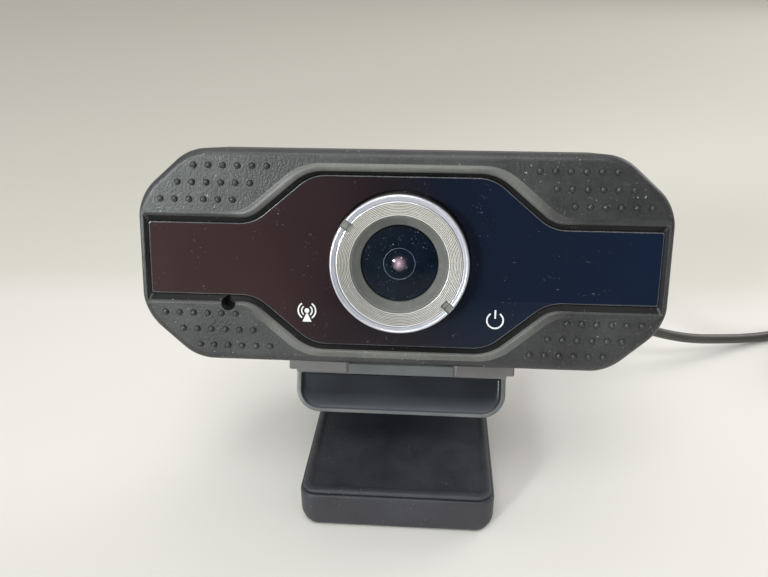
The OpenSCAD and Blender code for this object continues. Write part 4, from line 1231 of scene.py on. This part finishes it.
sun = bpy.data.lights.new("sky_soft", "SUN")
sun.energy, sun.angle, sun.color = 0.4, math.radians(60), (1.0, 0.99, 0.975)
so = bpy.data.objects.new("sky_soft", sun)
bpy.context.scene.collection.objects.link(so)
so.rotation_mode = "QUATERNION"
so.rotation_quaternion = Vector((0.28, -0.3, -1.0)).to_track_quat("-Z", "Y")
spot = bpy.data.lights.new("sheen_left", "SPOT")
spot.energy, spot.color, spot.shadow_soft_size = 62.0, (0.92, 1.0, 0.97), 0.12
spot.spot_size, spot.spot_blend = math.radians(13), 1.0
so = bpy.data.objects.new("sheen_left", spot)
bpy.context.scene.collection.objects.link(so)
so.location = (-0.52, -0.78, 0.34)
so.rotation_mode = "QUATERNION"
so.rotation_quaternion = (Vector((-0.025, -0.02, 0.08)) - Vector(so.location)).to_track_quat("-Z", "Y")
spot = bpy.data.lights.new("ring_light", "SPOT")
spot.energy, spot.color, spot.shadow_soft_size = 5.0, (1.0, 0.99, 0.97), 0.05
spot.spot_size, spot.spot_blend = math.radians(3.2), 0.6
so = bpy.data.objects.new("ring_light", spot)
bpy.context.scene.collection.objects.link(so)
so.location = (0.1, -0.62, 0.5)
so.rotation_mode = "QUATERNION"
so.rotation_quaternion = (Vector((0, -0.024, 0.056)) - Vector(so.location)).to_track_quat("-Z", "Y")
area("top_front", (-0.06, -0.36, 0.66), (0, 0, 0.05), 0.34, 1.7, (1.0, 0.995, 0.98))
area("back_right", (1.1, 0.8, 0.8), (0.2, 0.2, 0.0), 0.8, 7.0, (1.0, 0.99, 0.97))
w = bpy.data.worlds.new("studio")
bpy.context.scene.world = w
w.use_nodes = True
nt = w.node_tree
bg = nt.nodes["Background"]
bg.inputs[0].default_value = lin(240, 238, 234)
# brighter overhead than at the horizon, and a dim corner of the room in front
way = nt.nodes.new("ShaderNodeTexCoord").outputs["Generated"]
parts = nt.nodes.new("ShaderNodeSeparateXYZ")
nt.links.new(way, parts.inputs[0])
high = nt.nodes.new("ShaderNodeMapRange")
high.interpolation_type = "SMOOTHSTEP"
nt.links.new(parts.outputs["Z"], high.inputs["Value"])
for k, v in (("From Min", -0.05), ("From Max", 0.9), ("To Min", 0.46), ("To Max", 0.66)):
    high.inputs[k].default_value = v
near_dim = nt.nodes.new("ShaderNodeVectorMath")
near_dim.operation = "DOT_PRODUCT"
nt.links.new(way, near_dim.inputs[0])
near_dim.inputs[1].default_value = Vector((0.19, -0.98, 0.07)).normalized()
dim = nt.nodes.new("ShaderNodeMapRange")
dim.interpolation_type = "SMOOTHSTEP"
nt.links.new(near_dim.outputs["Value"], dim.inputs["Value"])
for k, v in (("From Min", 0.9), ("From Max", 0.985), ("To Min", 1.0), ("To Max", 0.34)):
    dim.inputs[k].default_value = v
both = nt.nodes.new("ShaderNodeMath")
both.operation = "MULTIPLY"
nt.links.new(high.outputs["Result"], both.inputs[0])
nt.links.new(dim.outputs["Result"], both.inputs[1])
nt.links.new(both.outputs[0], bg.inputs[1])
bpy.context.scene.view_settings.view_transform = "Standard"

print("cable length mm", round(length, 1))
